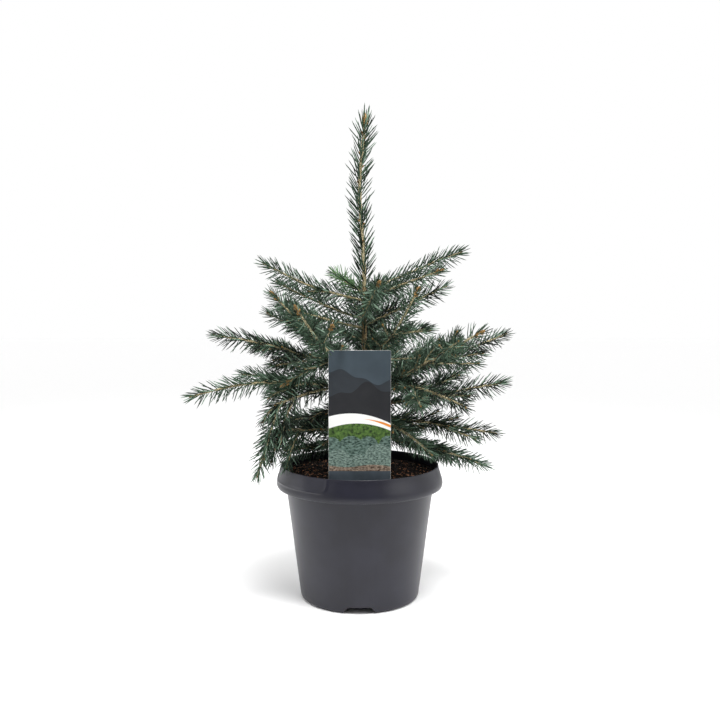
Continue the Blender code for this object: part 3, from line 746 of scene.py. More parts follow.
card_sheet = add_piece("card_sheet", card_plate(), card_plastic())
shade(card_sheet.data, 30)
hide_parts("care_card")
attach(card_sheet, "root")

card_print = add_piece("card_print", print_sheet(), *[printed_ink(*ink) for ink in INKS])
film = card_print.modifiers.new("film", "SOLIDIFY")
film.thickness = PRINT_THICKNESS
film.offset = -1.0
apply_modifiers(card_print)
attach(card_print, "root")

# ----------------------------------------------------------------------------------------
# The trunk: one straight stem, its older bark brown and scaly, and above the top whorl the
# leader of the last year in pale young bark. Each is a tube along its line, with relief.
# ----------------------------------------------------------------------------------------

Station = namedtuple("Station", "height lean radius")  # height above the mix, lean along +X
TRUNK = (
    Station(0.000, 0.004, 0.0068),
    Station(0.006, 0.004, 0.0054),
    Station(0.020, 0.004, 0.0046),
    Station(0.070, 0.005, 0.0041),
    Station(0.132, 0.006, 0.0036),
    Station(0.205, 0.0065, 0.0032),
    Station(0.250, 0.0068, 0.0029),
    Station(0.285, 0.0058, 0.0027),
    Station(0.340, 0.0027, 0.0025),
    Station(0.370, 0.0003, 0.0024),
    Station(0.400, 0.0001, 0.0023),
    Station(0.430, 0.0022, 0.0022),
    Station(0.455, 0.0049, 0.0021),
    Station(0.479, 0.0071, 0.0019),
    Station(0.486, 0.0074, 0.0014),
)
TRUNK_CLEAR = 0.0003  # from the mix to the foot of the bark
LEADER_FOOT = 0.258
LEADER_TOP = 0.478
LEADER_OVERLAP = 0.002  # how far the young bark goes down over the old
STEM_STEP = 0.004  # between two points of a stem's line
BARK_STEP = 0.0012  # between two rings of the bark's mesh
BARK_SCALE_SQUEEZE = 0.45  # the scales are this much longer up the trunk than round it
CRACK_WIDTH = 0.12  # of the cracks in the bark, as a part of a scale

# A stem's line: its points and their radii, the length that goes on beyond its last point,
# the share of needles it has kept, their tint, their lean and their length against the usual,
# the lean and the length of those at its tip, and how many buds end it
Stem = namedtuple("Stem", "points radii beyond keep tint lean size tip_lean tip_size buds")
SHOOT_TIP_LEAN = 24
SHOOT_TIP_SIZE = 0.72
# the deep tint is partly painted shade: the dark green of older needles, darkened further to stand in for the
# shade inside the crown
DEEP_AND_SHADED, BLUE, FROSTED, FRESH = range(4)  # the tints of the needles
CARRIED = ("thickness", "to_tip", "keep", "tint", "lean", "size", "tip_lean", "tip_size")


def between(value, pairs):
    """The value of a broken line, given as (place, value) pairs."""
    for (start, low), (end, high) in zip(pairs, pairs[1:]):
        if value <= end:
            return low + (high - low) * max(0.0, value - start) / (end - start)
    return pairs[-1][1]


def trunk_at(height):
    """Centre and radius of the trunk at a height above the potting mix."""
    lean = between(height, [(station.height, station.lean) for station in TRUNK])
    radius = between(height, [(station.height, station.radius) for station in TRUNK])
    return Vector((lean, 0.0, SOIL_LEVEL + height)), radius


def trunk_stem(bottom, top, beyond=0.0, keep=0.0, tint=BLUE, lean=0.0, size=1.0, tip_lean=SHOOT_TIP_LEAN):
    """A part of the trunk as a stem. Its last needles are as long as the others."""
    count = round((top - bottom) / STEM_STEP)
    stations = [trunk_at(bottom + (top - bottom) * number / count) for number in range(count + 1)]
    points, radii = [s[0] for s in stations], [s[1] for s in stations]
    return Stem(points, radii, beyond, keep, tint, lean, size, tip_lean, 1.0, 0)


def stem_lines(name, stems):
    """A mesh of lines, one along each stem, whose points carry what grows on them."""
    points, edges = [], []
    carried = {key: [] for key in CARRIED}
    for stem in stems:
        left = stem.beyond + sum((b - a).length for a, b in zip(stem.points, stem.points[1:]))
        for number, (point, radius) in enumerate(zip(stem.points, stem.radii)):
            if number:
                edges.append((len(points) - 1, len(points)))
                left -= (point - stem.points[number - 1]).length
            points.append(point)
            values = (radius, max(0.0, left), stem.keep, stem.tint, radians(stem.lean), stem.size,
                      radians(stem.tip_lean), stem.tip_size)
            for key, value in zip(carried, values):
                carried[key].append(float(value))
    mesh = bpy.data.meshes.new(name)
    mesh.from_pydata(points, edges, [])
    for key, values in carried.items():
        mesh.attributes.new(key, "FLOAT", "POINT").data.foreach_set("value", values)
    return mesh


def bark_tree():
    """A tube along each line, as thick as its points say, with a relief of scales and cracks."""
    tree, given, end = start_tree("bark", Sides="Int", Step="Float", Relief="Float", Scale="Float",
                                  Finish="Material")
    line = outcome(tree, "GeometryNodeMeshToCurve", {"Mesh": given["Geometry"]})
    even = outcome(tree, "GeometryNodeResampleCurve", {"Curve": line, "Length": given["Step"]}, mode="LENGTH")
    ring = outcome(tree, "GeometryNodeCurvePrimitiveCircle", {"Resolution": given["Sides"], "Radius": 1.0})
    thickness = carried_value(tree, "thickness")
    tube = outcome(tree, "GeometryNodeCurveToMesh",
                   {"Curve": even, "Profile Curve": ring, "Scale": thickness, "Fill Caps": True})

    # the relief: noise, less the middles of the scales, which are longer than wide
    place = outcome(tree, "GeometryNodeInputPosition")
    squeezed = calculate_vector(tree, "MULTIPLY", place, (1.0, 1.0, BARK_SCALE_SQUEEZE))
    fineness = calculate(tree, "DIVIDE", 1.0, given["Scale"])
    scales = outcome(tree, "ShaderNodeTexVoronoi", {"Vector": squeezed, "Scale": fineness})
    roughness = outcome(tree, "ShaderNodeTexNoise", {"Vector": place, "Scale": fineness, "Detail": 3.0})
    both = calculate(tree, "SUBTRACT", roughness, scales)
    share = calculate(tree, "MULTIPLY", calculate(tree, "MULTIPLY", both, given["Relief"]), thickness)
    outward = calculate_vector(tree, "SCALE", outcome(tree, "GeometryNodeInputNormal"), share)
    raised = outcome(tree, "GeometryNodeSetPosition", {"Geometry": tube, "Offset": outward})
    return finish_tree(tree, outcome(tree, "GeometryNodeSetShadeSmooth", {"Geometry": raised}), given, end)


def bark_finish(name, dark, light, crack, scale, roughness):
    """Spruce bark: dry and matt, in small scales that are paler where they lift."""
    material, tree, shader, place = start_material(name, Roughness=roughness, IOR=1.45)
    colour = mottled(tree, place, scale, dark, light, 4.0)
    cells = outcome(tree, "ShaderNodeTexVoronoi", {"Vector": place, "Scale": 1 / scale},
                    feature="DISTANCE_TO_EDGE")
    open_share = outcome(tree, "ShaderNodeMapRange", {"Value": cells, 2: CRACK_WIDTH})
    blend = add_node(tree, "ShaderNodeMix", {"Factor": open_share, 6: linear(crack), 7: colour},
                     data_type="RGBA")
    tree.links.new(blend.outputs[2], shader.inputs["Base Color"])
    raise_surface(tree, shader, open_share, scale / 8)
    return material


bark = bark_tree()
trunk_bark = grown_piece(
    "trunk_bark", stem_lines("trunk_line", [trunk_stem(TRUNK_CLEAR, LEADER_FOOT)]), bark, Sides=20,
    Step=BARK_STEP, Relief=0.16, Scale=0.0042,
    Finish=bark_finish("scaly_spruce_bark", "#8a7350", "#b8a378", "#5c4930", 0.0030, 0.85))
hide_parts("trunk")
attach(trunk_bark, "root")

young_bark = bark_finish("young_twig_bark", "#b6a67c", "#e2d7b2", "#907c54", 0.0018, 0.7)
leader_bark = grown_piece(
    "leader_bark",
    stem_lines("leader_line", [trunk_stem(LEADER_FOOT - LEADER_OVERLAP, TRUNK[-1].height)]), bark,
    Sides=16, Step=BARK_STEP, Relief=0.20, Scale=0.0022, Finish=young_bark)
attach(leader_bark, "root")

# ----------------------------------------------------------------------------------------
# The limbs: boughs of the older whorls, one-year shoots above them, and the finer twigs that
# branch off them in pairs. Old wood is red-brown and rough, young wood tan and ridged.
# ----------------------------------------------------------------------------------------

BOUGH_RADIUS = 0.0028
BOUGH_TAPER = 0.72
BOUGH_FOOT = 1.25  # how much thicker a bough is inside the trunk
SHOOT_RADIUS = 0.0019
SIDE_RADIUS = 0.0015
TWIG_RADIUS = 0.0012
TIP_RADIUS = 0.0010
LIMB_TIP_RADIUS = 0.0012
LIMB_GAP = 0.0006  # from the trunk to a limb's foot in the frame
WOBBLE = 1.6  # degrees that a limb wanders off its rule
WAVES_ASIDE, WAVES_ABOVE = 1.6, 1.9  # how often it wanders there and back
GROWTH_SEED = 11

# A limb leaves the trunk at a height above the mix, in a heading (0 is +X and 90 is +Y), and
# its pitch changes evenly along its length; its first part is bare in the frame. A side
# shoot stands at a part of the limb's length, and is turned, lifted and curled against it.
Limb = namedtuple("Limb", "name foot heading length pitch curl bare sides")
Side = namedtuple("Side", "at turn share lift curl")
BACK_SIDES = (Side(0.46, 44, 0.46, 5, -4), Side(0.54, -41, 0.42, -4, 6))
LIMBS = (
    # the top whorl, one year old
    Limb("top_left", 0.238, 186, 0.143, 10, 21, 0, ()),
    Limb("top_back_left", 0.248, 120, 0.091, 15, 6, 0, ()),
    Limb("top_right", 0.247, 8, 0.142, 26, -6, 0, ()),
    Limb("top_front_right", 0.240, -26, 0.112, 20, -2, 0, ()),
    Limb("top_front", 0.217, -80, 0.110, 28, -10, 0, ()),
    Limb("top_back_right", 0.240, 62, 0.100, 10, 0, 0, ()),
    # single shoots between the two whorls
    Limb("high_right", 0.204, -4, 0.117, 24, 4, 0, ()),
    Limb("high_back_right", 0.167, 32, 0.102, 18, -2, 0, ()),
    Limb("high_left", 0.200, 205, 0.118, 12, 6, 0, ()),
    Limb("high_back", 0.184, 112, 0.112, 4, 0, 0, ()),
    Limb("high_right_inside", 0.154, 6, 0.104, 5, -6, 0, ()),
    Limb("high_back_left", 0.212, 163, 0.133, 17, 10, 0, ()),
    # the middle whorl
    Limb("front_left", 0.138, -119, 0.192, 13, 32, 0.050,
         (Side(0.36, -41, 0.42, -36, -20), Side(0.58, -45, 0.48, 14, 0), Side(0.58, 42, 0.34, -6, 0))),
    Limb("front_right", 0.150, -64, 0.177, 24, 22, 0.045, (Side(0.50, 40, 0.29, -28, 0),)),
    Limb("right_strong", 0.100, -31, 0.194, 31, -3, 0.062,
         (Side(0.55, 38, 0.36, -30, 0), Side(0.60, -40, 0.40, -8, 0))),
    Limb("right_long", 0.120, 20, 0.226, 16, 2, 0.055,
         (Side(0.50, 42, 0.36, 0, 0), Side(0.50, -36, 0.28, -8, 0))),
    Limb("left_long", 0.128, 184, 0.208, 26, -18, 0.050,
         (Side(0.32, 34, 0.34, -26, 4), Side(0.50, -40, 0.36, -8, 0))),
    Limb("left_arching", 0.108, 200, 0.236, 18, -33, 0.055,
         (Side(0.34, 36, 0.34, -8, -14), Side(0.36, -42, 0.40, 3, -8))),
    Limb("back_left", 0.136, 136, 0.192, 25, 2, 0.050, BACK_SIDES),
    Limb("back", 0.142, 80, 0.158, 40, -4, 0.050, BACK_SIDES),
    Limb("back_right", 0.104, 54, 0.186, 21, 0, 0.050, BACK_SIDES),
    # the lowest whorl and the weak shoots above it
    Limb("low_right_weeping", 0.124, -47, 0.180, 8, -26, 0.045, (Side(0.50, -38, 0.40, -8, 0),)),
    Limb("low_right", 0.090, -6, 0.190, 10, 2, 0.050,
         (Side(0.36, 34, 0.48, 14, 0), Side(0.50, -40, 0.32, -6, 0))),
    Limb("low_right_level", 0.078, 8, 0.186, -5, -7, 0.055, (Side(0.50, -36, 0.36, -6, 0),)),
    Limb("low_right_hanging", 0.056, 17, 0.190, -12, -11, 0.050,
         (Side(0.50, 38, 0.40, 0, -14), Side(0.45, -36, 0.36, 4, 0))),
    Limb("low_front_right", 0.085, -50, 0.136, -8, -18, 0.040, ()),
    Limb("low_left_under", 0.050, 203, 0.124, 16, -20, 0.045,
         (Side(0.72, 26, 0.44, -56, -14), Side(0.52, -34, 0.40, -10, -10))),
    Limb("low_left_inside", 0.088, 184, 0.138, 12, -94, 0.040, ()),
    Limb("low_left_level", 0.036, 163, 0.122, -2, -4, 0.040, (Side(0.45, 40, 0.42, 0, 0),)),
    Limb("low_front_left", 0.068, 236, 0.090, -2, -16, 0, ()),
    Limb("low_left_hanging", 0.124, 223, 0.150, 1, -14, 0,
         (Side(0.96, -42, 0.66, -56, -8), Side(0.80, -20, 0.58, -52, -12))),
    Limb("low_back_left", 0.068, 130, 0.176, 2, -16, 0.050, BACK_SIDES),
    Limb("low_back", 0.052, 70, 0.150, 2, -14, 0.050, BACK_SIDES),
)
# the finer twigs of a whorl limb: place on it, turn, length as a part of the limb's, lift
TWIGS = (Side(0.13, 52, 0.13, -6, 0), Side(0.17, -50, 0.14, 6, 0), Side(0.24, 50, 0.17, 2, 0),
         Side(0.29, -48, 0.18, -6, 0), Side(0.40, 46, 0.18, -4, 6), Side(0.45, -48, 0.17, 4, 0))
SIDE_TWIGS = (Side(0.38, 42, 0.34, 0, 0), Side(0.46, -42, 0.32, 0, 0))
# the twigs that some limbs have besides, on the side that gets the light
MORE_TWIGS = {
    "low_right_level": (Side(0.22, -8, 0.20, 30, 0), Side(0.36, 12, 0.20, 26, 0),
                        Side(0.52, -6, 0.17, 24, 0)),
    "low_left_hanging": (Side(0.88, -44, 0.20, -26, -20), Side(0.98, -36, 0.20, -22, -30)),
    "left_long": (Side(0.40, 20, 0.20, -24, 0), Side(0.56, -20, 0.18, -20, 0)),
    "right_strong": (Side(0.50, 10, 0.22, 26, 0), Side(0.66, -6, 0.20, 24, 0)),
    "top_left": (Side(0.30, 16, 0.22, -14, 0),),
    "back": (Side(0.30, 50, 0.30, -30, 0), Side(0.34, -46, 0.28, -30, 0)),
}
TWIG_NEEDLES = 0.86  # length of a finer twig's needles against the usual
TWIG_LEAN = 52
TWIG_STRAY, TWIG_STRAY_LIFT = 0.03, 6  # how far a finer twig is off its place and its lift
SHORTEST_TWIGGED = 0.07  # no finer twigs on a side shoot shorter than this
SHOOT_KEEP = 0.80
# the needles left on the old wood inside the crown take the deep tint, which paints shade onto them
OLD_NEEDLES = (0.7, DEEP_AND_SHADED, 62, 0.9, 62, 0.9)  # keep, tint, lean, size, tip_lean and tip_size
FRESH_LIMBS = ("top_back_left",)  # in the lighter green of a late flush
STOUT_LIMBS = {"right_strong": 1.5}  # how much thicker than the others
NEEDLE_LEAN = 58
STOUT_LEAN = 84  # of the needles on a stout limb
STOUT_NEEDLES = 1.15
STOUT_KEEP = 0.50
BUDDED_LIMBS = ("front_left", "front_right", "top_front", "top_front_right", "right_strong")
BUDDED_SIDES = ("front_left",)  # whose side shoots end in a cluster as well
BUDS = 5  # in the cluster at the tip of those; the other tips have one small bud


def direction(heading, pitch):
    flat = cos(radians(pitch))
    return Vector((flat * cos(radians(heading)), flat * sin(radians(heading)), sin(radians(pitch))))


def limb_path(start, heading, pitch, curl, length, phase):
    """Points along a limb whose pitch changes evenly, and which wanders a little."""
    count = max(4, round(length / STEM_STEP))
    points = [start]
    for number in range(count):
        share = (number + 0.5) / count
        aside = WOBBLE * sin(2 * pi * (WAVES_ASIDE * share + phase))
        above = WOBBLE * sin(2 * pi * (WAVES_ABOVE * share + 2.3 * phase))
        step = direction(heading + aside, pitch + curl * share + above)
        points.append(points[-1] + step * (length / count))
    return points


def taper(count, start, end):
    return [start + (end - start) * number / (count - 1) for number in range(count)]


def limb_foot(limb):
    """Where a limb starts in the frame, just clear of the round of the trunk."""
    centre, trunk_radius = trunk_at(limb.foot)
    clear = trunk_radius + LIMB_GAP + BOUGH_RADIUS * abs(sin(radians(limb.pitch)))
    return centre + direction(limb.heading, 0) * clear + Vector((0, 0, clear * tan(radians(limb.pitch))))


def side_stem(points, limb_length, limb, side, radius, chance, **needles):
    """A side shoot or twig off a limb's line."""
    number = round(side.at * (len(points) - 1))
    pitch = limb.pitch + limb.curl * side.at + side.lift
    path = limb_path(points[number], limb.heading + side.turn, pitch, side.curl,
                     side.share * limb_length, chance.random())
    radii = taper(len(path), radius, TIP_RADIUS)
    return Stem(path, radii, 0.0, tip_lean=SHOOT_TIP_LEAN, tip_size=SHOOT_TIP_SIZE, **needles)


def twig_stem(points, length, limb, twig, tint, chance):
    """One of the finer twigs: thin, with shorter needles, and one bud at its tip."""
    return side_stem(points, length, limb, twig, TWIG_RADIUS, chance, keep=SHOOT_KEEP, tint=tint,
                     lean=TWIG_LEAN, size=TWIG_NEEDLES, buds=1)


def grow_limb(limb, chance):
    """The old wood and the young wood of a limb: lists of stems."""
    tint = FRESH if limb.name in FRESH_LIMBS else chance.choice((DEEP_AND_SHADED, DEEP_AND_SHADED, DEEP_AND_SHADED, BLUE, BLUE, BLUE))
    path = limb_path(limb_foot(limb), limb.heading, limb.pitch, limb.curl, limb.length, chance.random())
    inside = trunk_at(limb.foot)[0]
    split = round(limb.bare / limb.length * (len(path) - 1))
    thick = BOUGH_RADIUS * STOUT_LIMBS.get(limb.name, 1.0)
    keep, lean, size = SHOOT_KEEP, NEEDLE_LEAN, 1.0
    if limb.name in STOUT_LIMBS:
        keep, lean, size = STOUT_KEEP, STOUT_LEAN, STOUT_NEEDLES
    old, young = [], []
    if split:
        radii = [thick * BOUGH_FOOT] + taper(split + 1, thick, thick * BOUGH_TAPER)
        old.append(Stem([inside] + path[: split + 1], radii, limb.length - limb.bare, *OLD_NEEDLES, 0))
    shoot = path[split:] if split else [inside] + path
    radii = taper(len(shoot), thick * BOUGH_TAPER if split else SHOOT_RADIUS, LIMB_TIP_RADIUS)
    buds = BUDS if limb.name in BUDDED_LIMBS else 1
    young.append(Stem(shoot, radii, 0.0, keep, tint, lean, size, SHOOT_TIP_LEAN, SHOOT_TIP_SIZE, buds))
    for side in limb.sides:
        length = side.share * limb.length
        side_tint = chance.choice((tint, tint, BLUE, BLUE))
        stem = side_stem(path, limb.length, limb, side, SIDE_RADIUS, chance, keep=keep, tint=side_tint,
                         lean=NEEDLE_LEAN, size=1.0, buds=BUDS if limb.name in BUDDED_SIDES else 1)
        young.append(stem)
        turned = limb._replace(heading=limb.heading + side.turn,
                               pitch=limb.pitch + side.lift + limb.curl * side.at)
        for twig in SIDE_TWIGS if length > SHORTEST_TWIGGED else ():
            young.append(twig_stem(stem.points, length, turned, twig, side_tint, chance))
    for twig in TWIGS if split else ():
        at = twig.at + chance.uniform(-TWIG_STRAY, TWIG_STRAY)
        twig = twig._replace(at=at, lift=twig.lift + chance.uniform(-TWIG_STRAY_LIFT, TWIG_STRAY_LIFT))
        young.append(twig_stem(path, limb.length, limb, twig, chance.choice((tint, BLUE)), chance))
    for twig in MORE_TWIGS.get(limb.name, ()):
        young.append(twig_stem(path, limb.length, limb, twig, tint, more_chance))
    return old, young


chance = Random(GROWTH_SEED)
more_chance = Random(GROWTH_SEED + 1)
old_wood, young_wood = [], []
for limb in LIMBS:
    old, young = grow_limb(limb, chance)
    old_wood += old
    young_wood += young

bough_bark = grown_piece(
    "bough_bark", stem_lines("bough_lines", old_wood), bark, Sides=14, Step=BARK_STEP, Relief=0.22,
    Scale=0.0030, Finish=bark_finish("old_twig_bark", "#54402f", "#84694c", "#33251b", 0.0022, 0.85))
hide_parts(*["bough_" + limb.name for limb in LIMBS if limb.bare])
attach(bough_bark, "root")

twig_bark = grown_piece(
    "twig_bark", stem_lines("twig_lines", young_wood), bark, Sides=10, Step=2 * BARK_STEP, Relief=0.22,
    Scale=0.0020, Finish=young_bark)
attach(twig_bark, "root")

# ----------------------------------------------------------------------------------------
# The needles: stiff, four-sided and pointed, each on a woody peg, in a spiral all round the
# shoot. A bloom of wax makes them blue; they are forward at the tips and hang below a shoot.
# ----------------------------------------------------------------------------------------

NEEDLE_LENGTH = 0.0228
NEEDLE_HALF_WIDTH = 0.00088
NEEDLE_HALF_DEPTH = 0.00072
NEEDLE_RINGS = ((0.0, 0.70), (0.30, 1.0), (0.82, 0.70))  # height and width, as parts of its own
NEEDLE_BEND = 0.12  # forwards at the point, as a part of its length
NEEDLE_SPACING = 0.00060
NEEDLE_TURN = 137.5
NEEDLE_LOOSE = 11.0  # degrees that a needle strays
NEEDLE_STRAY_TURN = 0.35  # radians that it strays from the spiral
NEEDLE_ROOTED = 0.85  # how far out from the shoot's middle it stands, as a share of the radius
NEEDLE_GROWTH = (0.80, 1.03)  # least and greatest length against the usual
NEEDLE_REACH = 1.1  # how far ahead of it has to be free, against its length
NEEDLE_DROOP = 11.0  # degrees more lean below the shoot, and less above it
NEEDLE_CLOSING = 0.024  # from a shoot's tip to where its needles lean as usual
NEEDLE_BUD_ROOM = 0.0012  # no needles nearer to the tip than this, where the buds sit
NEEDLE_STRAY_TINT = 0.40  # share of the needles in another tint than their shoot's
OWN_TINT, ANY_TINT = 0.5, 9.0  # how far a needle's tint may be from its piece's
NEEDLE_SEED = 3
KEPT_SEED, STRAY_SEED, TINT_SEED, SIZE_SEED = 17, 29, 31, 37
PEG_LENGTH = 0.0012
PEG_ROOT_RADIUS = 0.000702
PEG_TOP_RADIUS = 0.000416
INTERNODE_FOOT = 0.060  # height above the mix of the lowest needles on the trunk
LEADER_NEEDLE = 1.22
LEADER_LEAN = 45
LEADER_TIP_LEAN = 14

# the tints: piece, finish, dark and light colour of the wax bloom; the deep tint is the dark green of older
# needles, made darker still as painted shade for the inside of the crown
TINTS = (
    ("needles_deep", "deep_green_needle", "#0c190e", "#1a2b1c"),
    ("needles_blue", "blue_green_needle", "#2b402f", "#4a614d"),
    ("needles_frosted", "frosted_blue_needle", "#67836e", "#91aa95"),
    ("needles_fresh", "fresh_green_needle", "#4d7044", "#719566"),
)


def close_shape(shape, rings, point):
    """Joins rings from a flat root up to a point."""
    join_rings(shape, rings)
    top = rings[-1]
    for corner in range(len(top)):
        shape.faces.new((top[corner], top[(corner + 1) % len(top)], point))
    shape.faces.new(reversed(rings[0]))


def needle_shape():
    """One needle along +Z, four-sided, bent towards +X and closed at its root."""
    shape = bmesh.new()
    rings = []
    for share, width in NEEDLE_RINGS:
        ring = []
        for x, y in ((1, 0), (0, 1), (-1, 0), (0, -1)):
            bend = NEEDLE_BEND * NEEDLE_LENGTH * share * share
            ring.append(shape.verts.new((x * width * NEEDLE_HALF_DEPTH + bend, y * width * NEEDLE_HALF_WIDTH,
                                         share * NEEDLE_LENGTH)))
        rings.append(ring)
    point = shape.verts.new((NEEDLE_BEND * NEEDLE_LENGTH, 0.0, NEEDLE_LENGTH))
    close_shape(shape, rings, point)
    return made_mesh(shape, "needle")


def peg_shape():
    """The woody peg that a needle stands on, along +Z."""
    shape = bmesh.new()
    bmesh.ops.create_cone(shape, cap_ends=True, segments=3, radius1=PEG_ROOT_RADIUS, radius2=PEG_TOP_RADIUS,
                          depth=PEG_LENGTH, matrix=Matrix.Translation((0, 0, PEG_LENGTH / 4)))
    return made_mesh(shape, "peg")


def needle_tree():
    """Sets a shape all along the lines in a spiral, and leaves off what something blocks."""
    tree, given, end = start_tree(
        "needles", Shape="Object", Blockers="Object", Reach="Float", Spacing="Float", Turn="Float",
        Loose="Float", Droop="Float", Closing="Float", BudRoom="Float",
        Tint="Float", TintRange="Float", Stray="Float", Seed="Int", Finish="Material")
    carried = {name: carried_value(tree, name) for name in CARRIED}
    line = outcome(tree, "GeometryNodeMeshToCurve", {"Mesh": given["Geometry"]})
    points = add_node(tree, "GeometryNodeCurveToPoints", {"Curve": line, "Length": given["Spacing"]},
                      mode="LENGTH")
    along = points.outputs["Tangent"]
    index = outcome(tree, "GeometryNodeInputIndex")

    def near_tip(at_tip, elsewhere, **settings):
        """A value that changes over the last part of a shoot."""
        inputs = {0: carried["to_tip"], 1: 0.0, 2: given["Closing"], 3: at_tip, 4: elsewhere}
        return outcome(tree, "ShaderNodeMapRange", inputs, **settings)

    # the spiral: each needle is turned on from the one before it
    stray_turn = random_number(tree, -NEEDLE_STRAY_TURN, NEEDLE_STRAY_TURN, given["Seed"])
    spin = calculate(tree, "MULTIPLY_ADD", index, given["Turn"], stray_turn)
    around = outcome(tree, "ShaderNodeVectorRotate",
                     {"Vector": points.outputs["Normal"], "Axis": along, "Angle": spin},
                     rotation_type="AXIS_ANGLE")

    # the lean: more below the shoot, less above it, and nearly none at its tip
    above = add_node(tree, "ShaderNodeSeparateXYZ", {0: around}).outputs["Z"]
    hung = calculate(tree, "SUBTRACT", carried["lean"], calculate(tree, "MULTIPLY", above, given["Droop"]))
    other_way = calculate(tree, "MULTIPLY", given["Loose"], -1.0)
    stray_lean = random_number(tree, other_way, given["Loose"], given["Seed"], index)
    loose = calculate(tree, "ADD", hung, stray_lean)
    lean = near_tip(carried["tip_lean"], loose, interpolation_type="SMOOTHSTEP")
    on = calculate_vector(tree, "SCALE", along, calculate(tree, "COSINE", lean))
    off = calculate_vector(tree, "SCALE", around, calculate(tree, "SINE", lean))
    way = calculate_vector(tree, "ADD", on, off)
    rotation = outcome(tree, "FunctionNodeAxesToRotation", {"Primary Axis": way, "Secondary Axis": along},
                       primary_axis="Z", secondary_axis="X")

    # the root stands in the bark, and the needle is left off if its way is blocked
    sunk = calculate(tree, "MULTIPLY", carried["thickness"], NEEDLE_ROOTED)
    placed = outcome(tree, "GeometryNodeSetPosition",
                     {"Geometry": points.outputs["Points"],
                      "Offset": calculate_vector(tree, "SCALE", around, sunk)})
    blockers = add_node(tree, "GeometryNodeObjectInfo", {"Object": given["Blockers"]}).outputs["Geometry"]
    blocked = outcome(tree, "GeometryNodeRaycast",
                      {"Target Geometry": blockers, "Ray Direction": way, "Ray Length": given["Reach"]})
    free = calculate(tree, "SUBTRACT", 1.0, blocked)
    kept = calculate(tree, "LESS_THAN", random_number(tree, 0.0, 1.0, KEPT_SEED, index),
                     near_tip(1.0, carried["keep"]))
    below_buds = calculate(tree, "GREATER_THAN", carried["to_tip"], given["BudRoom"])
    there = calculate(tree, "MULTIPLY", free, calculate(tree, "MULTIPLY", kept, below_buds))

    # the tint: mostly the shoot's own
    strays = calculate(tree, "LESS_THAN", random_number(tree, 0.0, 1.0, STRAY_SEED, index), given["Stray"])
    other = add_node(tree, "FunctionNodeRandomValue", {4: DEEP_AND_SHADED, 5: FROSTED, "Seed": TINT_SEED, "ID": index},
                     data_type="INT").outputs[2]
    own = outcome(tree, "GeometryNodeSwitch", {0: strays, 1: carried["tint"], 2: other}, input_type="FLOAT")
    match = calculate(tree, "COMPARE", own, given["Tint"], given["TintRange"])
    chosen = calculate(tree, "MULTIPLY", there, match)

    growth = random_number(tree, *NEEDLE_GROWTH, SIZE_SEED, index)
    size = calculate(tree, "MULTIPLY", calculate(tree, "MULTIPLY", growth, carried["size"]),
                     near_tip(carried["tip_size"], 1.0))
    shape = add_node(tree, "GeometryNodeObjectInfo", {"Object": given["Shape"]}).outputs["Geometry"]
    grown = outcome(tree, "GeometryNodeInstanceOnPoints",
                    {"Points": placed, "Selection": chosen, "Instance": shape, "Rotation": rotation,
                     "Scale": size})
    return finish_tree(tree, grown, given, end)


def needle_finish(name, dark, light):
    """A needle under its bloom of wax: a satin skin that scatters light at a glancing angle."""
    material, tree, shader, place = start_material(name, Roughness=0.52, IOR=1.45, Specular_IOR_Level=0.2,
                                                   Sheen_Weight=0.06, Sheen_Roughness=0.5)
    tree.links.new(mottled(tree, place, 0.006, dark, light), shader.inputs["Base Color"])
    return material


def blocking_mesh():
    """The pot, the mix and the card of the frame in one mesh, which needles keep clear of."""
    shape = bmesh.new()
    for node in ("pot", "potting_mix", "care_card"):
        shape.from_mesh(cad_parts[node].data)
    return made_mesh(shape, "blockers")


# the needles on the trunk between the whorls take the deep tint, which paints shade onto them
internode = trunk_stem(INTERNODE_FOOT, LEADER_FOOT, beyond=0.2, keep=0.34, tint=DEEP_AND_SHADED, lean=58, size=0.95)
leader = trunk_stem(LEADER_FOOT, LEADER_TOP, keep=0.64, tint=BLUE, lean=LEADER_LEAN, size=LEADER_NEEDLE,
                    tip_lean=LEADER_TIP_LEAN)
needle_lines = stem_lines("needle_lines", [*young_wood, leader, *old_wood, internode])
blockers = bpy.data.objects.new("blockers", blocking_mesh())
needle = bpy.data.objects.new("needle", needle_shape())
peg = bpy.data.objects.new("peg", peg_shape())
spiral = needle_tree()
settings = dict(Blockers=blockers, Reach=NEEDLE_LENGTH * NEEDLE_REACH, Spacing=NEEDLE_SPACING,
                Turn=radians(NEEDLE_TURN), Loose=radians(NEEDLE_LOOSE), Droop=radians(NEEDLE_DROOP),
                Closing=NEEDLE_CLOSING, BudRoom=NEEDLE_BUD_ROOM, Stray=NEEDLE_STRAY_TINT, Seed=NEEDLE_SEED)
for tint, (name, finish, dark, light) in enumerate(TINTS):
    piece = grown_piece(name, needle_lines.copy(), spiral, Shape=needle, Tint=float(tint), TintRange=OWN_TINT,
                        Finish=needle_finish(finish, dark, light), **settings)
    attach(piece, "root")
    if tint == BLUE:
        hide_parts("needles_leader", *["needles_" + limb.name for limb in LIMBS])
pegs = grown_piece("needle_pegs", needle_lines, spiral, Shape=peg, Tint=0.0, TintRange=ANY_TINT,
                   Finish=bark_finish("peg_bark", "#a2936b", "#c8bb93", "#83714a", 0.0018, 0.7), **settings)
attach(pegs, "root")

# ----------------------------------------------------------------------------------------
# The buds: pointed ovals of dry brown scales, one at each tip, a cluster on the strongest
# shoots and single ones along the leader, half hidden by the needles that close round them.
# ----------------------------------------------------------------------------------------

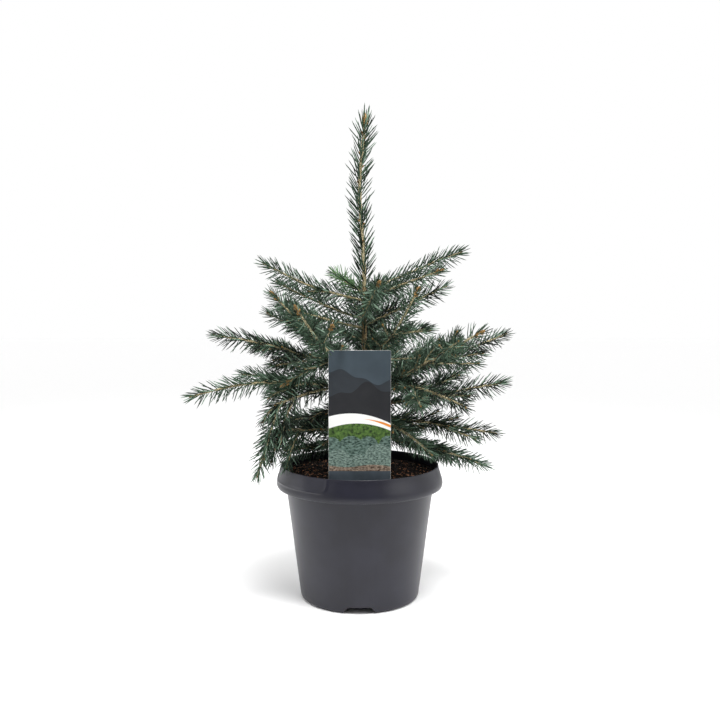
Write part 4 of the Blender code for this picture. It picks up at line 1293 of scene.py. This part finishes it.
BUD_SIDES = 6
BUD_RINGS = ((0.0, 0.22), (0.16, 0.36), (0.20, 0.31), (0.42, 0.35), (0.46, 0.29), (0.68, 0.23), (0.72, 0.17),
             (0.92, 0.05))  # height and radius, as parts of the bud's length
TIP_BUD = 0.0078
LONE_BUD = 0.5  # size of a bud that stands alone at a tip, against those in a cluster
SIDE_BUD = 0.0060
SIDE_BUD_LEAN = 46
TIP_BUD_GROWTH = (0.9, 1.1)  # least and greatest size against the usual
SIDE_BUD_GROWTH = (0.8, 1.1)  # the same, and for their lean too
BUD_SUNK = 0.001  # how far the foot of the last bud is in the shoot
SIDE_BUD_BELOW = 0.002  # from the shoot's tip down to the first bud beside it
SIDE_BUD_SPACING = 0.003
LEADER_BUD = 0.0125
LEADER_SIDE_BUD = 0.0046
LEADER_BUDS = ((0.463, 200), (0.455, -30), (0.436, 165), (0.418, 15), (0.397, 200), (0.345, 185),
               (0.341, -10), (0.318, -70))  # height above the mix and heading
LEADER_BUD_WAY = (0.75, 0.66)  # outwards and upwards
LEADER_BUD_ROOTED = 0.6  # how far out its foot is, as a share of the leader's radius
LEADER_TIP_WAY = (0.03, 0, 1)
LEADER_CLUSTER = (20, 140, 260)  # headings of the buds under its tip
CLUSTER_BELOW, CLUSTER_PITCH, CLUSTER_BUD = 0.004, 55, 1.2  # below the tip, lift, size


def bud_shape():
    """A bud of unit length along +Z, stepped where its scales overlap."""
    shape = bmesh.new()
    rings = []
    for number, (height, radius) in enumerate(BUD_RINGS):
        turns = [2 * pi * (side + 0.5 * (number // 2 % 2)) / BUD_SIDES for side in range(BUD_SIDES)]
        rings.append([shape.verts.new((radius * cos(t), radius * sin(t), height)) for t in turns])
    close_shape(shape, rings, shape.verts.new((0, 0, 1.0)))
    return made_mesh(shape, "bud")


def bud_tree():
    """Sets a shape on every point, pointing and as long as the point says."""
    tree, given, end = start_tree("buds", Shape="Object", Finish="Material")
    way = carried_value(tree, "way", "FLOAT_VECTOR")
    shape = add_node(tree, "GeometryNodeObjectInfo", {"Object": given["Shape"]}).outputs["Geometry"]
    grown = outcome(tree, "GeometryNodeInstanceOnPoints", {
        "Points": outcome(tree, "GeometryNodeMeshToPoints", {"Mesh": given["Geometry"]}),
        "Rotation": outcome(tree, "FunctionNodeAlignRotationToVector", {"Vector": way}, axis="Z"),
        "Instance": shape, "Scale": carried_value(tree, "size")})
    return finish_tree(tree, grown, given, end)


def bud_places(stems, chance):
    """Foot, direction and length of the buds at the tips, in clusters, and along the leader."""
    places = []
    for stem in stems:
        tip, along = stem.points[-1], (stem.points[-1] - stem.points[-2]).normalized()
        across = along.orthogonal().normalized()
        full = 1.0 if stem.buds > 1 else LONE_BUD
        places.append((tip - along * BUD_SUNK, along, TIP_BUD * full * chance.uniform(*TIP_BUD_GROWTH)))
        turn = chance.uniform(0, 2 * pi)
        for number in range(stem.buds - 1):
            around = Matrix.Rotation(turn + 2 * pi * number / 3, 3, along) @ across
            lean = radians(SIDE_BUD_LEAN * chance.uniform(*SIDE_BUD_GROWTH))
            way = along * cos(lean) + around * sin(lean)
            foot = tip - along * (SIDE_BUD_BELOW + SIDE_BUD_SPACING * number)
            places.append((foot, way, SIDE_BUD * chance.uniform(*SIDE_BUD_GROWTH)))
    for height, heading in LEADER_BUDS:
        centre, radius = trunk_at(height)
        out = direction(heading, 0)
        way = out * LEADER_BUD_WAY[0] + Vector((0, 0, LEADER_BUD_WAY[1]))
        places.append((centre + out * radius * LEADER_BUD_ROOTED, way, LEADER_SIDE_BUD))
    top = trunk_at(LEADER_TOP)[0]
    places.append((top, Vector(LEADER_TIP_WAY), LEADER_BUD))
    foot = top - Vector((0, 0, CLUSTER_BELOW))
    for heading in LEADER_CLUSTER:
        places.append((foot, direction(heading, CLUSTER_PITCH), SIDE_BUD * CLUSTER_BUD))
    return places


def bud_scales():
    """Dry overlapping bud scales: orange-brown, thin and slightly glossy with resin."""
    return grained_finish("resinous_bud_scale", "#7a572b", "#b48d4f", patch=0.002, grain=0.0005,
                          depth=0.00008, Roughness=0.5, IOR=1.5)


bud_points = bpy.data.meshes.new("bud_points")
places = bud_places(young_wood, chance)
bud_points.from_pydata([foot for foot, _, _ in places], [], [])
ways = bud_points.attributes.new("way", "FLOAT_VECTOR", "POINT")
ways.data.foreach_set("vector", [number for _, way, _ in places for number in way.normalized()])
sizes = bud_points.attributes.new("size", "FLOAT", "POINT")
sizes.data.foreach_set("value", [size for _, _, size in places])
buds = grown_piece("buds", bud_points, bud_tree(), Shape=bpy.data.objects.new("bud", bud_shape()),
                   Finish=bud_scales())
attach(buds, "root")

# ----------------------------------------------------------------------------------------
# The studio: a white floor and surround, a dark screen that no camera sees and that keeps
# the near side of the plant and the pot dark, soft boxes, and the camera at crown height.
# ----------------------------------------------------------------------------------------

CAMERA_DISTANCE = 1.2  # in front of the pot's axis
CAMERA_HEIGHT = 0.430
CAMERA_ASIDE = 0.0004
CAMERA_TILT = 4.8  # downwards
CAMERA_LENS = 43.7
FLOOR_HALF = 6.0
FLOOR_BELOW = 0.0002  # under the foot ring, so that the two faces don't meet
FLOOR_WHITE = "#ffffff"
SCREEN_BEHIND = 1.9  # from the pot's axis, beyond the camera
SCREEN_WIDTH = 3.4
SCREEN_HEIGHT = 2.4
SCREEN_CLOTH = "#434345"

floor_mesh = bpy.data.meshes.new("floor")
corners = [(-1, -1), (1, -1), (1, 1), (-1, 1)]
floor_points = [(x * FLOOR_HALF, y * FLOOR_HALF, -FLOOR_BELOW) for x, y in corners]
floor_mesh.from_pydata(floor_points, [], [range(4)])
floor_paint, _, floor_shader, _ = start_material("white_floor", Roughness=0.8)
floor_shader.inputs["Base Color"].default_value = linear(FLOOR_WHITE)
add_piece("floor", floor_mesh, floor_paint)

screen_mesh = bpy.data.meshes.new("screen")
screen_points = [(x * SCREEN_WIDTH / 2, -SCREEN_BEHIND, (z + 1) * SCREEN_HEIGHT / 2)
                 for x, z in reversed(corners)]
screen_mesh.from_pydata(screen_points, [], [range(4)])
screen_cloth, _, screen_shader, _ = start_material("dark_screen_cloth", Roughness=1.0)
screen_shader.inputs["Base Color"].default_value = linear(SCREEN_CLOTH)
screen = add_piece("screen", screen_mesh, screen_cloth)
screen.visible_camera = False

surround = bpy.data.worlds.new("surround")
surround.use_nodes = True
surround.node_tree.nodes["Background"].inputs["Color"].default_value = (1.0, 1.0, 1.0, 1.0)
surround.node_tree.nodes["Background"].inputs["Strength"].default_value = 1.0
bpy.context.scene.world = surround

# soft boxes: where each stands, what it faces, its width, the spread its grid leaves and its watts
SOFT_BOXES = (
    ("right", (1.5, -0.9, 1.1), (0, 0, 0.3), 1.1, 180, 6.5),
    ("overhead", (0.25, -0.8, 2.4), (0, 0.05, 0.2), 0.9, 60, 7.0),
    ("left", (-1.6, 0.1, 0.9), (0, 0, 0.3), 0.8, 180, 3.0),
)
for name, place, target, width, spread, power in SOFT_BOXES:
    lamp = bpy.data.lights.new(name, "AREA")
    lamp.size = width
    lamp.spread = radians(spread)
    lamp.energy = power
    box = bpy.data.objects.new(name, lamp)
    box.location = place
    box.rotation_euler = (Vector(target) - Vector(place)).to_track_quat("-Z", "Y").to_euler()
    bpy.context.scene.collection.objects.link(box)

lens = bpy.data.cameras.new("camera")
lens.lens = CAMERA_LENS
camera = bpy.data.objects.new("camera", lens)
camera.location = (CAMERA_ASIDE, -CAMERA_DISTANCE, CAMERA_HEIGHT)
camera.rotation_euler = (radians(90 - CAMERA_TILT), 0.0, 0.0)
bpy.context.scene.collection.objects.link(camera)
bpy.context.scene.camera = camera
bpy.context.scene.view_settings.view_transform = "Standard"
